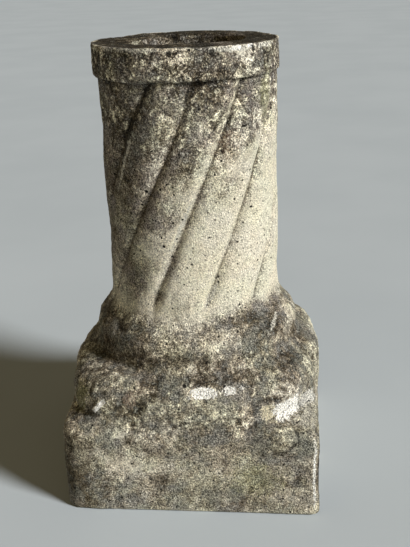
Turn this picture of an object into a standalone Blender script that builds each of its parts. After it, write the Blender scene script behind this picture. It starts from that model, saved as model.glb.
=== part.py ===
"""Cast stone column with a spiral reeded shaft.

One casting, modelled as one closed solid in metres, +Z up, with its origin at the middle of the
underside and its front towards -Y. From the floor up: a square plinth, a lower moulding with a
worn spur over each corner of the plinth, an upper moulding, a round shaft wound with reeds, a
plain collar, and a round socket let into the flat top.

The skin is a stack of closed rings of points: up the outside, over the rim and down the socket.
Each ring has the same number of points, so that each pair of neighbours is joined by one band
of faces. Up the shaft the points turn with the reeds, so a groove is a clean line of edges.
"""
import math

import bmesh
import bpy

# Plinth
PLINTH_WIDTH = 0.2736
PLINTH_HEIGHT = 0.103
PLINTH_FOOT_WEAR = 0.0042
PLINTH_TOP_WEAR = 0.0052

# Upright corners of the plinth, each worn to its own radius
CORNER_RADIUS_FRONT_LEFT = 0.0235
CORNER_RADIUS_FRONT_RIGHT = 0.009
CORNER_RADIUS_BACK_RIGHT = 0.016
CORNER_RADIUS_BACK_LEFT = 0.019

# Lower moulding: how far it stands past the plinth, and how it rounds in at its foot and shoulder
LOWER_MOULDING_HEIGHT = 0.0458
LOWER_MOULDING_OVERHANG = 0.0019
LOWER_MOULDING_FOOT_INSET = 0.0036
LOWER_MOULDING_SHOULDER_INSET = 0.0113
SEAM_RISE = 0.002

# Corner spurs: how far each one reaches out over its corner of the plinth, and its width
SPUR_REACH_FRONT_LEFT = 0.0212
SPUR_REACH_FRONT_RIGHT = 0.0153
SPUR_REACH_BACK_RIGHT = 0.0317
SPUR_REACH_BACK_LEFT = 0.0155
SPUR_WIDTH = 0.099
SPUR_FULLNESS = 0.37

# Upper moulding
UPPER_MOULDING_DIAMETER = 0.2248
UPPER_MOULDING_HEIGHT = 0.0532
UPPER_MOULDING_FOOT_INSET = 0.003
UPPER_MOULDING_SHOULDER_INSET = 0.0372

# Shaft and its reeds
SHAFT_DIAMETER = 0.1858
SHAFT_LENGTH = 0.2462
REED_COUNT = 10
GROOVE_DEPTH = 0.0037
GROOVE_WIDTH = 0.0125
GROOVE_RUN_OUT = 0.028
TWIST_PER_METRE = math.radians(295)
FIRST_GROOVE_ANGLE = math.radians(-83.7)

# Collar
COLLAR_HEIGHT = 0.0318
COLLAR_PROJECTION = 0.0036
COLLAR_LOWER_WEAR = 0.003
COLLAR_UPPER_WEAR = 0.0018

# Socket in the top, which stands a little behind the column's axis
SOCKET_MOUTH_DIAMETER = 0.116
SOCKET_FLOOR_DIAMETER = 0.108
SOCKET_DEPTH = 0.110
SOCKET_LIP_WEAR = 0.0025
SOCKET_SET_BACK = 0.007

# Fineness of the facets
REED_STATIONS = (0.0, 0.1, 0.22, 0.36, 0.5, 0.64, 0.78, 0.9)
CORNER_CROWDING = 0.5
WEAR_STEPS = 3
MOULDING_STEPS = 8
SHAFT_STEPS = 18

# Heights and radii that follow from the sizes above
SEAM_HEIGHT = PLINTH_HEIGHT + SEAM_RISE
CREASE_HEIGHT = PLINTH_HEIGHT + LOWER_MOULDING_HEIGHT
SHAFT_FOOT = CREASE_HEIGHT + UPPER_MOULDING_HEIGHT
COLLAR_FOOT = SHAFT_FOOT + SHAFT_LENGTH
TOP = COLLAR_FOOT + COLLAR_HEIGHT
PLINTH_HALF = PLINTH_WIDTH / 2
LOWER_MOULDING_RADIUS = PLINTH_HALF + LOWER_MOULDING_OVERHANG
UPPER_MOULDING_RADIUS = UPPER_MOULDING_DIAMETER / 2
SHAFT_RADIUS = SHAFT_DIAMETER / 2
COLLAR_RADIUS = SHAFT_RADIUS + COLLAR_PROJECTION
COLUMNS = REED_COUNT * len(REED_STATIONS)
CORNERS = (
    (math.radians(-135), CORNER_RADIUS_FRONT_LEFT, SPUR_REACH_FRONT_LEFT),
    (math.radians(-45), CORNER_RADIUS_FRONT_RIGHT, SPUR_REACH_FRONT_RIGHT),
    (math.radians(45), CORNER_RADIUS_BACK_RIGHT, SPUR_REACH_BACK_RIGHT),
    (math.radians(135), CORNER_RADIUS_BACK_LEFT, SPUR_REACH_BACK_LEFT),
)

STONE_COLOUR = (0.47, 0.43, 0.34, 1.0)
STONE_ROUGHNESS = 0.93


def clear_scene():
    """Remove every object that the open file holds."""
    for item in list(bpy.data.objects):
        bpy.data.objects.remove(item, do_unlink=True)


def smooth_step(value):
    """Ease from 0 to 1 with level ends."""
    value = min(max(value, 0.0), 1.0)
    return value * value * (3 - 2 * value)


def square_angle(column):
    """Angle of a column of points round the plinth, crowded towards the four corners."""
    even = 2 * math.pi * column / COLUMNS
    return even + CORNER_CROWDING * math.sin(4 * even) / 4 - math.pi / 2


def reed_angle(column, height):
    """Angle of a column of points up the shaft, where it turns with the reeds."""
    reed, station = divmod(column, len(REED_STATIONS))
    start = FIRST_GROOVE_ANGLE + 2 * math.pi * (reed + REED_STATIONS[station]) / REED_COUNT
    climbed = min(height, COLLAR_FOOT) - SHAFT_FOOT
    return start + TWIST_PER_METRE * climbed


def column_angle(column, height):
    """Angle of a column of points: square below the crease, with the reeds above the shaft's foot."""
    if height <= CREASE_HEIGHT:
        return square_angle(column)
    if height >= SHAFT_FOOT:
        return reed_angle(column, height)
    share = smooth_step((height - CREASE_HEIGHT) / UPPER_MOULDING_HEIGHT)
    return (1 - share) * square_angle(column) + share * reed_angle(column, SHAFT_FOOT)


def turn_between(angle, other):
    """Size of the turn from one angle to another, at most half a circle."""
    return abs(math.remainder(angle - other, 2 * math.pi))


def corner_radius_at(angle):
    """Radius of the plinth corner nearest to an angle."""
    return min(CORNERS, key=lambda corner: turn_between(angle, corner[0]))[1]


def rounded_square(angle, half_width):
    """Distance from the middle to the edge of a square with round corners."""
    corner_radius = corner_radius_at(angle)
    longer = max(abs(math.cos(angle)), abs(math.sin(angle)))
    shorter = min(abs(math.cos(angle)), abs(math.sin(angle)))
    corner_middle = half_width - corner_radius
    if shorter / longer <= corner_middle / half_width:
        return half_width / longer
    under_root = corner_radius**2 - corner_middle**2 * (1 - 2 * longer * shorter)
    return corner_middle * (longer + shorter) + math.sqrt(max(under_root, 0.0))


def ring(height, radius_at, set_back=0.0):
    """One closed ring of points at a height, its radius a function of column and angle."""
    points = []
    for column in range(COLUMNS):
        angle = column_angle(column, height)
        radius = radius_at(column, angle)
        points.append((radius * math.cos(angle), radius * math.sin(angle) + set_back, height))
    return points


def round_ring(height, radius, set_back=0.0):
    """One circular ring of points, about the axis or set back from it."""
    return ring(height, lambda column, angle: radius, set_back)


def square_ring(height, inset):
    """One ring of the plinth, drawn in from its faces by an inset."""
    half = PLINTH_HALF - inset
    return ring(height, lambda column, angle: rounded_square(angle, half))


def plinth_rings():
    """The plinth's sides, with a worn edge below and above."""
    rings = []
    for step in range(WEAR_STEPS + 1):
        turn = math.pi / 2 * step / WEAR_STEPS
        height = PLINTH_FOOT_WEAR * (1 - math.cos(turn))
        rings.append(square_ring(height, PLINTH_FOOT_WEAR * (1 - math.sin(turn))))
    for step in range(WEAR_STEPS + 1):
        turn = math.pi / 2 * step / WEAR_STEPS
        height = PLINTH_HEIGHT - PLINTH_TOP_WEAR * (1 - math.sin(turn))
        rings.append(square_ring(height, PLINTH_TOP_WEAR * (1 - math.cos(turn))))
    return rings


def spur_reach(angle, climb):
    """How far the spurs stand out of the lower moulding, which they meet again at its shoulder."""
    half_spread = SPUR_WIDTH / 2 / LOWER_MOULDING_RADIUS
    fade = max(1 - climb * climb, 0.0) ** SPUR_FULLNESS
    reach = 0.0
    for corner_angle, _, full_reach in CORNERS:
        reach += full_reach * math.exp(-((turn_between(angle, corner_angle) / half_spread) ** 2))
    return reach * fade


def moulding_stations(foot_inset, shoulder_inset):
    """Share of the height and inset of each ring of a moulding, from its foot to its shoulder."""
    stations = []
    for step in range(MOULDING_STEPS + 1):
        swing = math.pi * (step / MOULDING_STEPS - 0.5)
        inset = foot_inset if swing < 0 else shoulder_inset
        stations.append(((1 + math.sin(swing)) / 2, inset * (1 - math.cos(swing))))
    return stations


def lower_moulding_rings():
    """The lower moulding and its four spurs, from the seam over the plinth to the crease."""
    rings = []
    for share, inset in moulding_stations(LOWER_MOULDING_FOOT_INSET, LOWER_MOULDING_SHOULDER_INSET):
        climb = share
        height = SEAM_HEIGHT + share * (CREASE_HEIGHT - SEAM_HEIGHT)
        radius = LOWER_MOULDING_RADIUS - inset
        rings.append(ring(height, lambda column, angle: radius + spur_reach(angle, climb)))
    return rings


def upper_moulding_rings():
    """The upper moulding, up to where its shoulder runs into the shaft."""
    rings = []
    for share, inset in moulding_stations(UPPER_MOULDING_FOOT_INSET, UPPER_MOULDING_SHOULDER_INSET):
        radius = UPPER_MOULDING_RADIUS - inset
        if radius <= SHAFT_RADIUS or share == 1:
            break
        rings.append(round_ring(CREASE_HEIGHT + share * UPPER_MOULDING_HEIGHT, radius))
    return rings


def shaft_ring(height):
    """One ring of the shaft: full on the reeds, drawn in at the grooves, which run out below."""
    reed_pitch = 2 * math.pi * SHAFT_RADIUS / REED_COUNT
    depth = GROOVE_DEPTH * smooth_step((height - SHAFT_FOOT) / GROOVE_RUN_OUT)

    def radius_at(column, angle):
        station = REED_STATIONS[column % len(REED_STATIONS)]
        from_groove = min(station, 1 - station) * reed_pitch
        return SHAFT_RADIUS - depth * math.exp(-((from_groove / (GROOVE_WIDTH / 2)) ** 2))

    return ring(height, radius_at)


def shaft_rings():
    """The shaft, from the upper moulding to the collar."""
    return [shaft_ring(SHAFT_FOOT + SHAFT_LENGTH * step / SHAFT_STEPS) for step in range(SHAFT_STEPS + 1)]


def collar_rings():
    """The collar's underside, side and worn edges, up to the flat top."""
    rings = []
    for step in range(WEAR_STEPS):
        turn = math.pi / 2 * step / (WEAR_STEPS - 1)
        height = COLLAR_FOOT + COLLAR_LOWER_WEAR * (1 - math.cos(turn))
        rings.append(round_ring(height, COLLAR_RADIUS - COLLAR_LOWER_WEAR * (1 - math.sin(turn))))
    for step in range(WEAR_STEPS):
        turn = math.pi / 2 * step / (WEAR_STEPS - 1)
        height = TOP - COLLAR_UPPER_WEAR * (1 - math.sin(turn))
        rings.append(round_ring(height, COLLAR_RADIUS - COLLAR_UPPER_WEAR * (1 - math.cos(turn))))
    return rings


def socket_rings():
    """The socket: its worn lip in the flat top, and its wall down to the floor."""
    mouth = SOCKET_MOUTH_DIAMETER / 2
    return [
        round_ring(TOP, mouth + SOCKET_LIP_WEAR, SOCKET_SET_BACK),
        round_ring(TOP - SOCKET_LIP_WEAR, mouth, SOCKET_SET_BACK),
        round_ring(TOP - SOCKET_DEPTH, SOCKET_FLOOR_DIAMETER / 2, SOCKET_SET_BACK),
    ]


def skin(name, rings):
    """A closed mesh over a stack of rings, with a flat face over the first and over the last."""
    shape = bmesh.new()
    rows = [[shape.verts.new(point) for point in points] for points in rings]
    for lower, upper in zip(rows, rows[1:]):
        for column in range(COLUMNS):
            after = (column + 1) % COLUMNS
            shape.faces.new((lower[column], lower[after], upper[after], upper[column]))
    shape.faces.new(list(reversed(rows[0])))
    shape.faces.new(rows[-1])
    bmesh.ops.recalc_face_normals(shape, faces=shape.faces)
    mesh = bpy.data.meshes.new(name)
    shape.to_mesh(mesh)
    shape.free()
    mesh.shade_smooth()
    mesh.set_sharp_from_angle(angle=math.radians(38))
    return mesh


def stone_material():
    """Weathered cast stone, matt and buff grey."""
    material = bpy.data.materials.new("cast_stone")
    material.use_nodes = True
    shader = material.node_tree.nodes["Principled BSDF"]
    shader.inputs["Base Color"].default_value = STONE_COLOUR
    shader.inputs["Roughness"].default_value = STONE_ROUGHNESS
    shader.inputs["Metallic"].default_value = 0.0
    return material


def build_column():
    """The whole casting as one object."""
    rings = plinth_rings() + lower_moulding_rings() + upper_moulding_rings()
    rings += shaft_rings() + collar_rings() + socket_rings()
    mesh = skin("column", rings)
    mesh.materials.append(stone_material())
    column = bpy.data.objects.new("column", mesh)
    bpy.context.scene.collection.objects.link(column)
    return column


clear_scene()
build_column()
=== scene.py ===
"""Looks of the weathered cast stone column.

The column is one casting, so one fine skin stands for its solid. The skin is a grid of rows, from
the underside up the outside, over the rim and down the socket, and of columns round the axis. Its
shape is worked out from the same sizes as the solid, then weathered: creases are worn soft, the
faces are made uneven, and pits, slots and chips are let in. The stone's finish is procedural and
reads Object coordinates and the attributes that the skin carries.
"""
import logging
import math
from dataclasses import dataclass, field
from enum import Enum

import bpy
import numpy as np
from mathutils import Matrix, Vector


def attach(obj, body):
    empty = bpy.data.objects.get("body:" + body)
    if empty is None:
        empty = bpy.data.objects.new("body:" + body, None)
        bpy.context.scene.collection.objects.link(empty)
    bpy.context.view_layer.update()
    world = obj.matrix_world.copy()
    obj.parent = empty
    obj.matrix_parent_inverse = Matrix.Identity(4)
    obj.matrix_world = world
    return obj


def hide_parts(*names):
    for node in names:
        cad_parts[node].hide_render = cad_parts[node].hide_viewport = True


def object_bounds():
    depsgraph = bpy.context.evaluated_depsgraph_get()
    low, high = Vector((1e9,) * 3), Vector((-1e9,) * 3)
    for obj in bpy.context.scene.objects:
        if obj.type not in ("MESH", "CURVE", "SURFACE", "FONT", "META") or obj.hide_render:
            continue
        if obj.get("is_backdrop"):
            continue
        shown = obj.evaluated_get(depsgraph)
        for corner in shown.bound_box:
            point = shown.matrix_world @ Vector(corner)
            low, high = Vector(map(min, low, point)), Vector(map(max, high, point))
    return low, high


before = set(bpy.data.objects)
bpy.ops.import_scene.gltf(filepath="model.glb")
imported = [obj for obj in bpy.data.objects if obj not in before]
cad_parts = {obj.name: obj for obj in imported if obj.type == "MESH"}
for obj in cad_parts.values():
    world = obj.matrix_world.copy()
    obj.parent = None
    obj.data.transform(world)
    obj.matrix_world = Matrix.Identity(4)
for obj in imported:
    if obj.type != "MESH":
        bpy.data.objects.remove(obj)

CAD_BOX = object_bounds()
LOG = logging.getLogger("column")
NODE = "column"
BODY = "root"
MILLIMETRE = 0.001
Shade = tuple[float, float, float, float]
Plug = bpy.types.NodeSocket


class Corner(Enum):
    """The plinth's four upright corners, each by its direction from the axis, in radians."""

    FRONT_LEFT = math.radians(-135)
    FRONT_RIGHT = math.radians(-45)
    BACK_RIGHT = math.radians(45)
    BACK_LEFT = math.radians(135)


class Zone(Enum):
    """The parts of the skin that weather differently."""

    PLINTH = 0
    LOWER_MOULDING = 1
    UPPER_MOULDING = 2
    SHAFT = 3
    COLLAR = 4
    TOP = 5
    SOCKET = 6


class MarkKind(Enum):
    """What a single mark on the stone is, each by the name of its colour in the finish."""

    WHITE_CHIP = "fresh"
    BUFF_CHIP = "buff"
    RUB = "crust"
    DARK = "hole"
    GREEN = "green"
    PINK = "pink"


class Rim(Enum):
    """A mark's rim: how a coarse and a fine noise break it up, and how soft it is."""

    SOFT = (3.0, 1.6, 0.3)
    CRISP = (0.3, 0.2, 0.07)
    BLOCKY = (1.3, 1.4, 0.07)
    RAGGED = (2.0, 1.4, 0.07)


def smooth_step(value: np.ndarray) -> np.ndarray:
    """Ease from 0 to 1 with level ends, after clipping: three squares less two cubes."""
    clipped = np.clip(value, 0.0, 1.0)
    return clipped * clipped * (3.0 - 2.0 * clipped)


def by_zone(values: np.ndarray, zones: np.ndarray, amounts: dict[Zone, float]) -> np.ndarray:
    """Values, each replaced by its zone's own amount where the zone has one."""
    for zone, amount in amounts.items():
        values = np.where(zones == zone.value, amount, values)
    return values


def turn_between(angle: np.ndarray, other: float | np.ndarray) -> np.ndarray:
    """Signed turn from one angle to another, wrapped to half a circle either way."""
    return np.mod(angle - other + math.pi, 2.0 * math.pi) - math.pi


def cell_number(cells: np.ndarray, seed: int) -> np.ndarray:
    """Even random number for each whole-numbered cell of space.

    Formula: the three cell numbers and the seed, each times a large odd number, are added, and the
    sum's bits are folded on themselves and multiplied, twice over.

    Args:
        cells: whole numbers, with the three coordinates last.
        seed: which of many unlike patterns to give.

    Returns:
        One number from 0 to 1 for each cell.
    """
    mask = np.uint64(0xFFFFFFFF)
    whole = cells.astype(np.int64).astype(np.uint64) & mask
    mixed = whole[..., 0] * np.uint64(374761393) + whole[..., 1] * np.uint64(668265263)
    mixed = (mixed + whole[..., 2] * np.uint64(2246822519) + np.uint64(seed * 3266489917)) & mask
    for _ in range(2):
        mixed = ((mixed ^ (mixed >> np.uint64(15))) * np.uint64(2246822519)) & mask
        mixed = mixed ^ (mixed >> np.uint64(13))
    return (mixed & np.uint64(0xFFFFFF)).astype(float) / float(0xFFFFFF)


def cell_noise(points: np.ndarray, cell: float, seed: int) -> np.ndarray:
    """Smooth noise: the random numbers at a cell's eight corners, eased into each other.

    Args:
        points: places in metres, with the three coordinates last.
        cell: the cell's edge in metres.
        seed: which pattern to give.

    Returns:
        One value from -1 to 1 for each place.
    """
    scaled = points / cell
    low = np.floor(scaled)
    ease = smooth_step(scaled - low)
    total = np.zeros(points.shape[:-1])
    for corner in range(8):
        step = np.array([corner & 1, corner >> 1 & 1, corner >> 2 & 1])
        weight = np.prod(np.where(step, ease, 1.0 - ease), axis=-1)
        total += weight * cell_number(low + step, seed)
    return 2.0 * total - 1.0


def fractal_noise(points: np.ndarray, cell: float, octaves: int, seed: int) -> np.ndarray:
    """Sum of noises, each with cells half the size and a little over half the height of the last."""
    total = np.zeros(points.shape[:-1])
    height = 1.0
    for octave in range(octaves):
        total += height * cell_noise(points, cell / 2**octave, seed + octave)
        height *= 0.55
    return total


def scattered_pits(points: np.ndarray, cell: float, share: float, seed: int) -> np.ndarray:
    """Round hollows strewn at random.

    Formula: each cell may hold one centre, jittered in the cell, with a radius of its own; a point
    takes the deepest of the bowls it lies in, one less the square of its distance over the radius.

    Args:
        points: places in metres, with the three coordinates last.
        cell: the cell's edge in metres.
        share: the part of the cells that hold a pit.
        seed: which pattern to give.

    Returns:
        Depth from 0 to 1 for each place.
    """
    scaled = points / cell
    low = np.floor(scaled)
    deepest = np.zeros(points.shape[:-1])
    for index in range(27):
        near = low + np.array([index % 3 - 1, index // 3 % 3 - 1, index // 9 - 1])
        jitter = np.stack([cell_number(near, seed + axis) for axis in range(3)], axis=-1)
        radius = 0.10 + 0.16 * cell_number(near, seed + 3) ** 2
        held = cell_number(near, seed + 4) < share
        away = np.linalg.norm(scaled - near - jitter, axis=-1) / radius
        deepest = np.maximum(deepest, np.where(held, 1.0 - away**2, 0.0))
    return deepest


@dataclass
class Rows:
    """A stretch of the skin: where its points are, and how the stretch weathers.

    Attributes:
        radius: distance from the axis, rows by columns, or rows by one where every row is round.
        height: height of each row over the underside.
        zone: the part of the column that the rows belong to.
        set_back: how far the rows' middle lies behind the axis.
        across: how far the rows' middle lies to the right of the axis.
    """

    radius: np.ndarray
    height: np.ndarray
    zone: Zone
    set_back: float = 0.0
    across: float = 0.0

    def place(self, angles: np.ndarray) -> np.ndarray:
        """Points in metres: radius times the angle's cosine and sine, moved by the offsets."""
        x = self.radius * np.cos(angles) + self.across
        y = self.radius * np.sin(angles) + self.set_back
        return np.stack([x, y, np.broadcast_to(self.height[:, None], x.shape)], axis=-1)


def worn_band(
    foot: float, top: float, wear: tuple[float, float], rows: tuple[int, int]
) -> tuple[np.ndarray, np.ndarray]:
    """Profile of an upright band between a quarter round at its foot and one at its top.

    Args:
        foot: height of its foot.
        top: height of its top.
        wear: radius of the lower and of the upper quarter round.
        rows: number of rows on the side and on each quarter round.

    Returns:
        The height of each row, and how far it is drawn in.
    """
    low, high = wear
    turn = np.linspace(0.0, math.pi / 2.0, rows[1])
    side = np.linspace(foot + low, top - high, rows[0] + 2)[1:-1]
    height = [foot + low * (1.0 - np.cos(turn)), side, top - high * (1.0 - np.sin(turn))]
    inset = [low * (1.0 - np.sin(turn)), np.zeros(rows[0]), high * (1.0 - np.cos(turn))]
    return np.concatenate(height), np.concatenate(inset)


def half_round(swing: np.ndarray, foot_inset: float, shoulder_inset: float) -> tuple[np.ndarray, np.ndarray]:
    """Profile of a round moulding.

    Formula: the climb is half of one plus the swing's sine; the inset is one less its cosine, times
    the foot's inset below the middle and the shoulder's above it.

    Args:
        swing: turn of each row from level, from foot to shoulder.
        foot_inset: how far the foot is drawn in.
        shoulder_inset: how far the shoulder is drawn in.

    Returns:
        The share of the height that each row has climbed, and how far it is drawn in.
    """
    inset = np.where(swing < 0.0, foot_inset, shoulder_inset) * (1.0 - np.cos(swing))
    return (1.0 + np.sin(swing)) / 2.0, inset


@dataclass
class Fan:
    """The angles of the skin's columns, crowded to the plinth's corners where it is square."""

    columns: int = 356
    crowding: float = 0.42

    def angles(self, crowd: np.ndarray) -> np.ndarray:
        """Angles of every column for rows that are crowded from not at all, 0, to fully, 1.

        Formula: the even angle plus a sine of four times itself, so that steps shrink at corners.

        Args:
            crowd: how crowded each row is.

        Returns:
            Angles in radians, rows by columns.
        """
        even = 2.0 * math.pi * np.arange(self.columns) / self.columns
        pull = self.crowding * np.sin(4.0 * even) / 4.0
        return even[None, :] + crowd[:, None] * pull[None, :] - math.pi / 2.0


@dataclass
class Plinth:
    """The square block under the column, with worn edges and corners."""

    width: float = 0.2736
    height: float = 0.103
    foot_wear: float = 0.0042
    top_wear: float = 0.0065
    side_rows: int = 38
    wear_rows: int = 5
    corner_radius: dict[Corner, float] = field(
        default_factory=lambda: {
            Corner.FRONT_LEFT: 0.0235,
            Corner.FRONT_RIGHT: 0.0070,
            Corner.BACK_RIGHT: 0.0160,
            Corner.BACK_LEFT: 0.0190,
        }
    )

    def corner_radii(self, angles: np.ndarray) -> np.ndarray:
        """Radius of the upright corner nearest to each angle."""
        radii = np.empty_like(angles)
        for corner, radius in self.corner_radius.items():
            near = np.abs(turn_between(angles, corner.value)) <= math.pi / 4.0 + 1e-9
            radii[near] = radius
        return radii

    def outline(self, angles: np.ndarray, inset: np.ndarray) -> np.ndarray:
        """Distance from the axis to the edge of a square with round corners.

        Formula: on a face, the half width over the larger of the angle's sine and cosine; round a
        corner, the far crossing of the ray with the corner's circle.

        Args:
            angles: directions from the axis, rows by columns.
            inset: how far each row is drawn in from the faces.

        Returns:
            Distances in metres, rows by columns.
        """
        radius = self.corner_radii(angles)
        half = self.width / 2.0 - inset[:, None]
        middle = half - radius
        longer = np.maximum(np.abs(np.cos(angles)), np.abs(np.sin(angles)))
        shorter = np.minimum(np.abs(np.cos(angles)), np.abs(np.sin(angles)))
        under_root = radius**2 - middle**2 * (1.0 - 2.0 * longer * shorter)
        round_corner = middle * (longer + shorter) + np.sqrt(np.maximum(under_root, 0.0))
        return np.where(shorter / longer <= middle / half, half / longer, round_corner)

    def rows(self, fan: Fan) -> Rows:
        """The sides, with a quarter round at the foot and at the top edge."""
        wear = (self.foot_wear, self.top_wear)
        height, inset = worn_band(0.0, self.height, wear, (self.side_rows, self.wear_rows))
        return Rows(self.outline(fan.angles(np.ones(len(height))), inset), height, Zone.PLINTH)


@dataclass(frozen=True)
class Valley:
    """A worn hollow beside a spur, which runs down the lower moulding.

    Attributes:
        head: its direction at the moulding's shoulder, in degrees from the front, rightwards.
        foot: the same at the moulding's foot.
        depth: how deep it is, in metres.
        half_width: half its width, in degrees.
    """

    head: float
    foot: float
    depth: float = 0.0016
    half_width: float = 6.0


@dataclass
class LowerMoulding:
    """The moulding on the plinth, with a worn spur over each corner."""

    foot: float = 0.105
    crease: float = 0.1488
    radius: float = 0.1387
    foot_inset: float = 0.0036
    shoulder_inset: float = 0.0118
    spur_width: float = 0.099
    spur_fullness: float = 0.37
    row_count: int = 27
    spur_reach: dict[Corner, float] = field(
        default_factory=lambda: {
            Corner.FRONT_LEFT: 0.0212,
            Corner.FRONT_RIGHT: 0.0153,
            Corner.BACK_RIGHT: 0.0317,
            Corner.BACK_LEFT: 0.0155,
        }
    )
    valleys: tuple[Valley, ...] = (
        Valley(-15.0, -27.0, 0.0050, 6.5),
        Valley(31.0, 27.0, 0.0034, 6.5),
        Valley(-70.0, -66.0),
        Valley(70.0, 67.0),
        Valley(110.0, 114.0),
        Valley(160.0, 156.0),
        Valley(-112.0, -116.0),
        Valley(-161.0, -157.0),
    )

    def hollowed(self, angles: np.ndarray, climb: np.ndarray) -> np.ndarray:
        """How far the valleys draw the moulding in: a bell curve about a line from head to foot."""
        fade = np.sin(math.pi * np.clip(climb, 0.0, 1.0)) ** 0.6
        depth = np.zeros_like(angles)
        for valley in self.valleys:
            middle = np.radians(valley.foot + climb * (valley.head - valley.foot) - 90.0)
            off = turn_between(angles, middle[:, None]) / math.radians(valley.half_width)
            depth += valley.depth * np.exp(-(off**2))
        return depth * fade[:, None]

    def spurs(self, angles: np.ndarray, climb: np.ndarray) -> np.ndarray:
        """How far the spurs stand out: a bell curve about each corner that dies out at the shoulder."""
        half_spread = self.spur_width / 2.0 / self.radius
        fade = np.maximum(1.0 - climb**2, 0.0) ** self.spur_fullness
        reach = np.zeros_like(angles)
        for corner, full_reach in self.spur_reach.items():
            reach += full_reach * np.exp(-((turn_between(angles, corner.value) / half_spread) ** 2))
        return reach * fade[:, None]

    def rows(self, fan: Fan) -> Rows:
        """Half a round from foot to shoulder, its radius less the inset at each end."""
        swing = np.linspace(-math.pi / 2.0, math.pi / 2.0, self.row_count)
        climb, inset = half_round(swing, self.foot_inset, self.shoulder_inset)
        angles = fan.angles(np.ones(self.row_count))
        radius = (self.radius - inset)[:, None] + self.spurs(angles, climb) - self.hollowed(angles, climb)
        return Rows(radius, self.foot + climb * (self.crease - self.foot), Zone.LOWER_MOULDING)


@dataclass
class UpperMoulding:
    """The round moulding under the shaft."""

    foot: float = 0.1488
    height: float = 0.0532
    radius: float = 0.1124
    foot_inset: float = 0.003
    shoulder_inset: float = 0.0372
    row_count: int = 30

    def rows(self, shaft_radius: float) -> Rows:
        """Half a round, which stops where its shoulder comes in to the shaft's radius."""
        last_swing = math.acos(1.0 - (self.radius - shaft_radius) / self.shoulder_inset)
        swing = np.linspace(-math.pi / 2.0, last_swing, self.row_count + 1)[:-1]
        climb, inset = half_round(swing, self.foot_inset, self.shoulder_inset)
        return Rows((self.radius - inset)[:, None], self.foot + climb * self.height, Zone.UPPER_MOULDING)


@dataclass
class Shaft:
    """The round shaft wound with reeds.

    Attributes:
        stray: how far each groove strays from its even place at the foot, half way up and at the
            collar, in degrees. There are as many grooves as there are strays.
    """

    foot: float = 0.202
    length: float = 0.2462
    radius: float = 0.0929
    groove_depth: float = 0.0044
    left_bank: float = 0.0052
    right_bank: float = 0.0062
    groove_run_out: float = 0.028
    groove_sharpness: float = 1.35
    crown: float = 0.0014
    twist_per_metre: float = math.radians(295)
    first_groove: float = math.radians(-83.7)
    row_count: int = 104
    stray: tuple[tuple[float, float, float], ...] = (
        (1.0, -0.4, 2.5),
        (0.0, 5.0, 2.0),
        (1.5, -1.0, -2.0),
        (-1.0, 1.0, 0.5),
        (0.5, -1.5, 1.0),
        (0.0, 2.0, -1.0),
        (-1.5, 0.0, 4.0),
        (-1.0, 1.5, 11.5),
        (-10.0, 4.0, 3.2),
        (1.5, 0.3, 0.2),
    )

    def groove_angles(self, height: np.ndarray) -> np.ndarray:
        """Angle of each groove at each height.

        Formula: even spacing, plus the twist, plus the groove's own stray, which is the parabola
        through its values at the foot, half way up and at the collar.

        Args:
            height: height of each row.

        Returns:
            Angles in radians, rows by grooves.
        """
        climbed = (height - self.foot)[:, None]
        share = climbed / self.length
        foot, middle, collar = np.radians(np.array(self.stray)).T
        stray = foot * (1.0 - share) * (1.0 - 2.0 * share) + middle * 4.0 * share * (1.0 - share)
        stray = stray + collar * share * (2.0 * share - 1.0)
        even = self.first_groove + 2.0 * math.pi * np.arange(len(self.stray)) / len(self.stray)
        return even + self.twist_per_metre * climbed + stray

    def nearest_turn(self, angles: np.ndarray, height: np.ndarray) -> np.ndarray:
        """Signed turn from the nearest groove to each point."""
        turns = turn_between(angles[:, :, None], self.groove_angles(height)[:, None, :])
        nearest = np.abs(turns).argmin(axis=-1)[..., None]
        return np.take_along_axis(turns, nearest, axis=-1)[..., 0]

    def carving(self, angles: np.ndarray, height: np.ndarray) -> np.ndarray:
        """Depth of the carving: grooves between crowned reeds, which run out at the foot.

        Formula: the groove's depth times e to the less of the distance over the bank's width, to
        the power of its sharpness; plus the square of how near the point is to a groove, for the crown.

        Args:
            angles: directions from the axis, rows by columns.
            height: height of each row.

        Returns:
            How far the surface lies inside the shaft's radius, rows by columns.
        """
        off = self.nearest_turn(angles, height) * self.radius
        bank = np.where(off < 0.0, self.left_bank, self.right_bank)
        half_pitch = math.pi * self.radius / len(self.stray)
        cut = self.groove_depth * np.exp(-((np.abs(off) / bank) ** self.groove_sharpness))
        crown = self.crown * (1.0 - np.clip(np.abs(off) / half_pitch, 0.0, 1.0)) ** 2
        run_out = smooth_step((height - self.foot) / self.groove_run_out)
        return (cut + crown) * run_out[:, None]

    def groove_bearings(self, points: np.ndarray) -> tuple[np.ndarray, np.ndarray]:
        """Where each point of the skin lies between grooves.

        Formula: the sine and the cosine of a turn that is nought in a groove and half a circle half
        way between grooves. The cosine falls to -1 where the grooves run out and off the shaft.

        Args:
            points: the skin's points, rows by columns by three.

        Returns:
            The sine, which is positive to the right of a groove, and the cosine.
        """
        height = points[..., 2].mean(axis=1)
        phase = self.nearest_turn(np.arctan2(points[..., 1], points[..., 0]), height) * len(self.stray)
        on_shaft = (height > self.foot) & (height < self.foot + self.length + 0.0015)
        depth = (smooth_step((height - self.foot) / self.groove_run_out) * on_shaft)[:, None]
        return np.sin(phase), np.cos(phase) * depth + depth - 1.0

    def rows(self, fan: Fan) -> Rows:
        """The shaft's radius less its carving, in even rows from foot to collar."""
        height = np.linspace(self.foot, self.foot + self.length, self.row_count)
        radius = self.radius - self.carving(fan.angles(np.zeros(self.row_count)), height)
        return Rows(radius, height, Zone.SHAFT)


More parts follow.
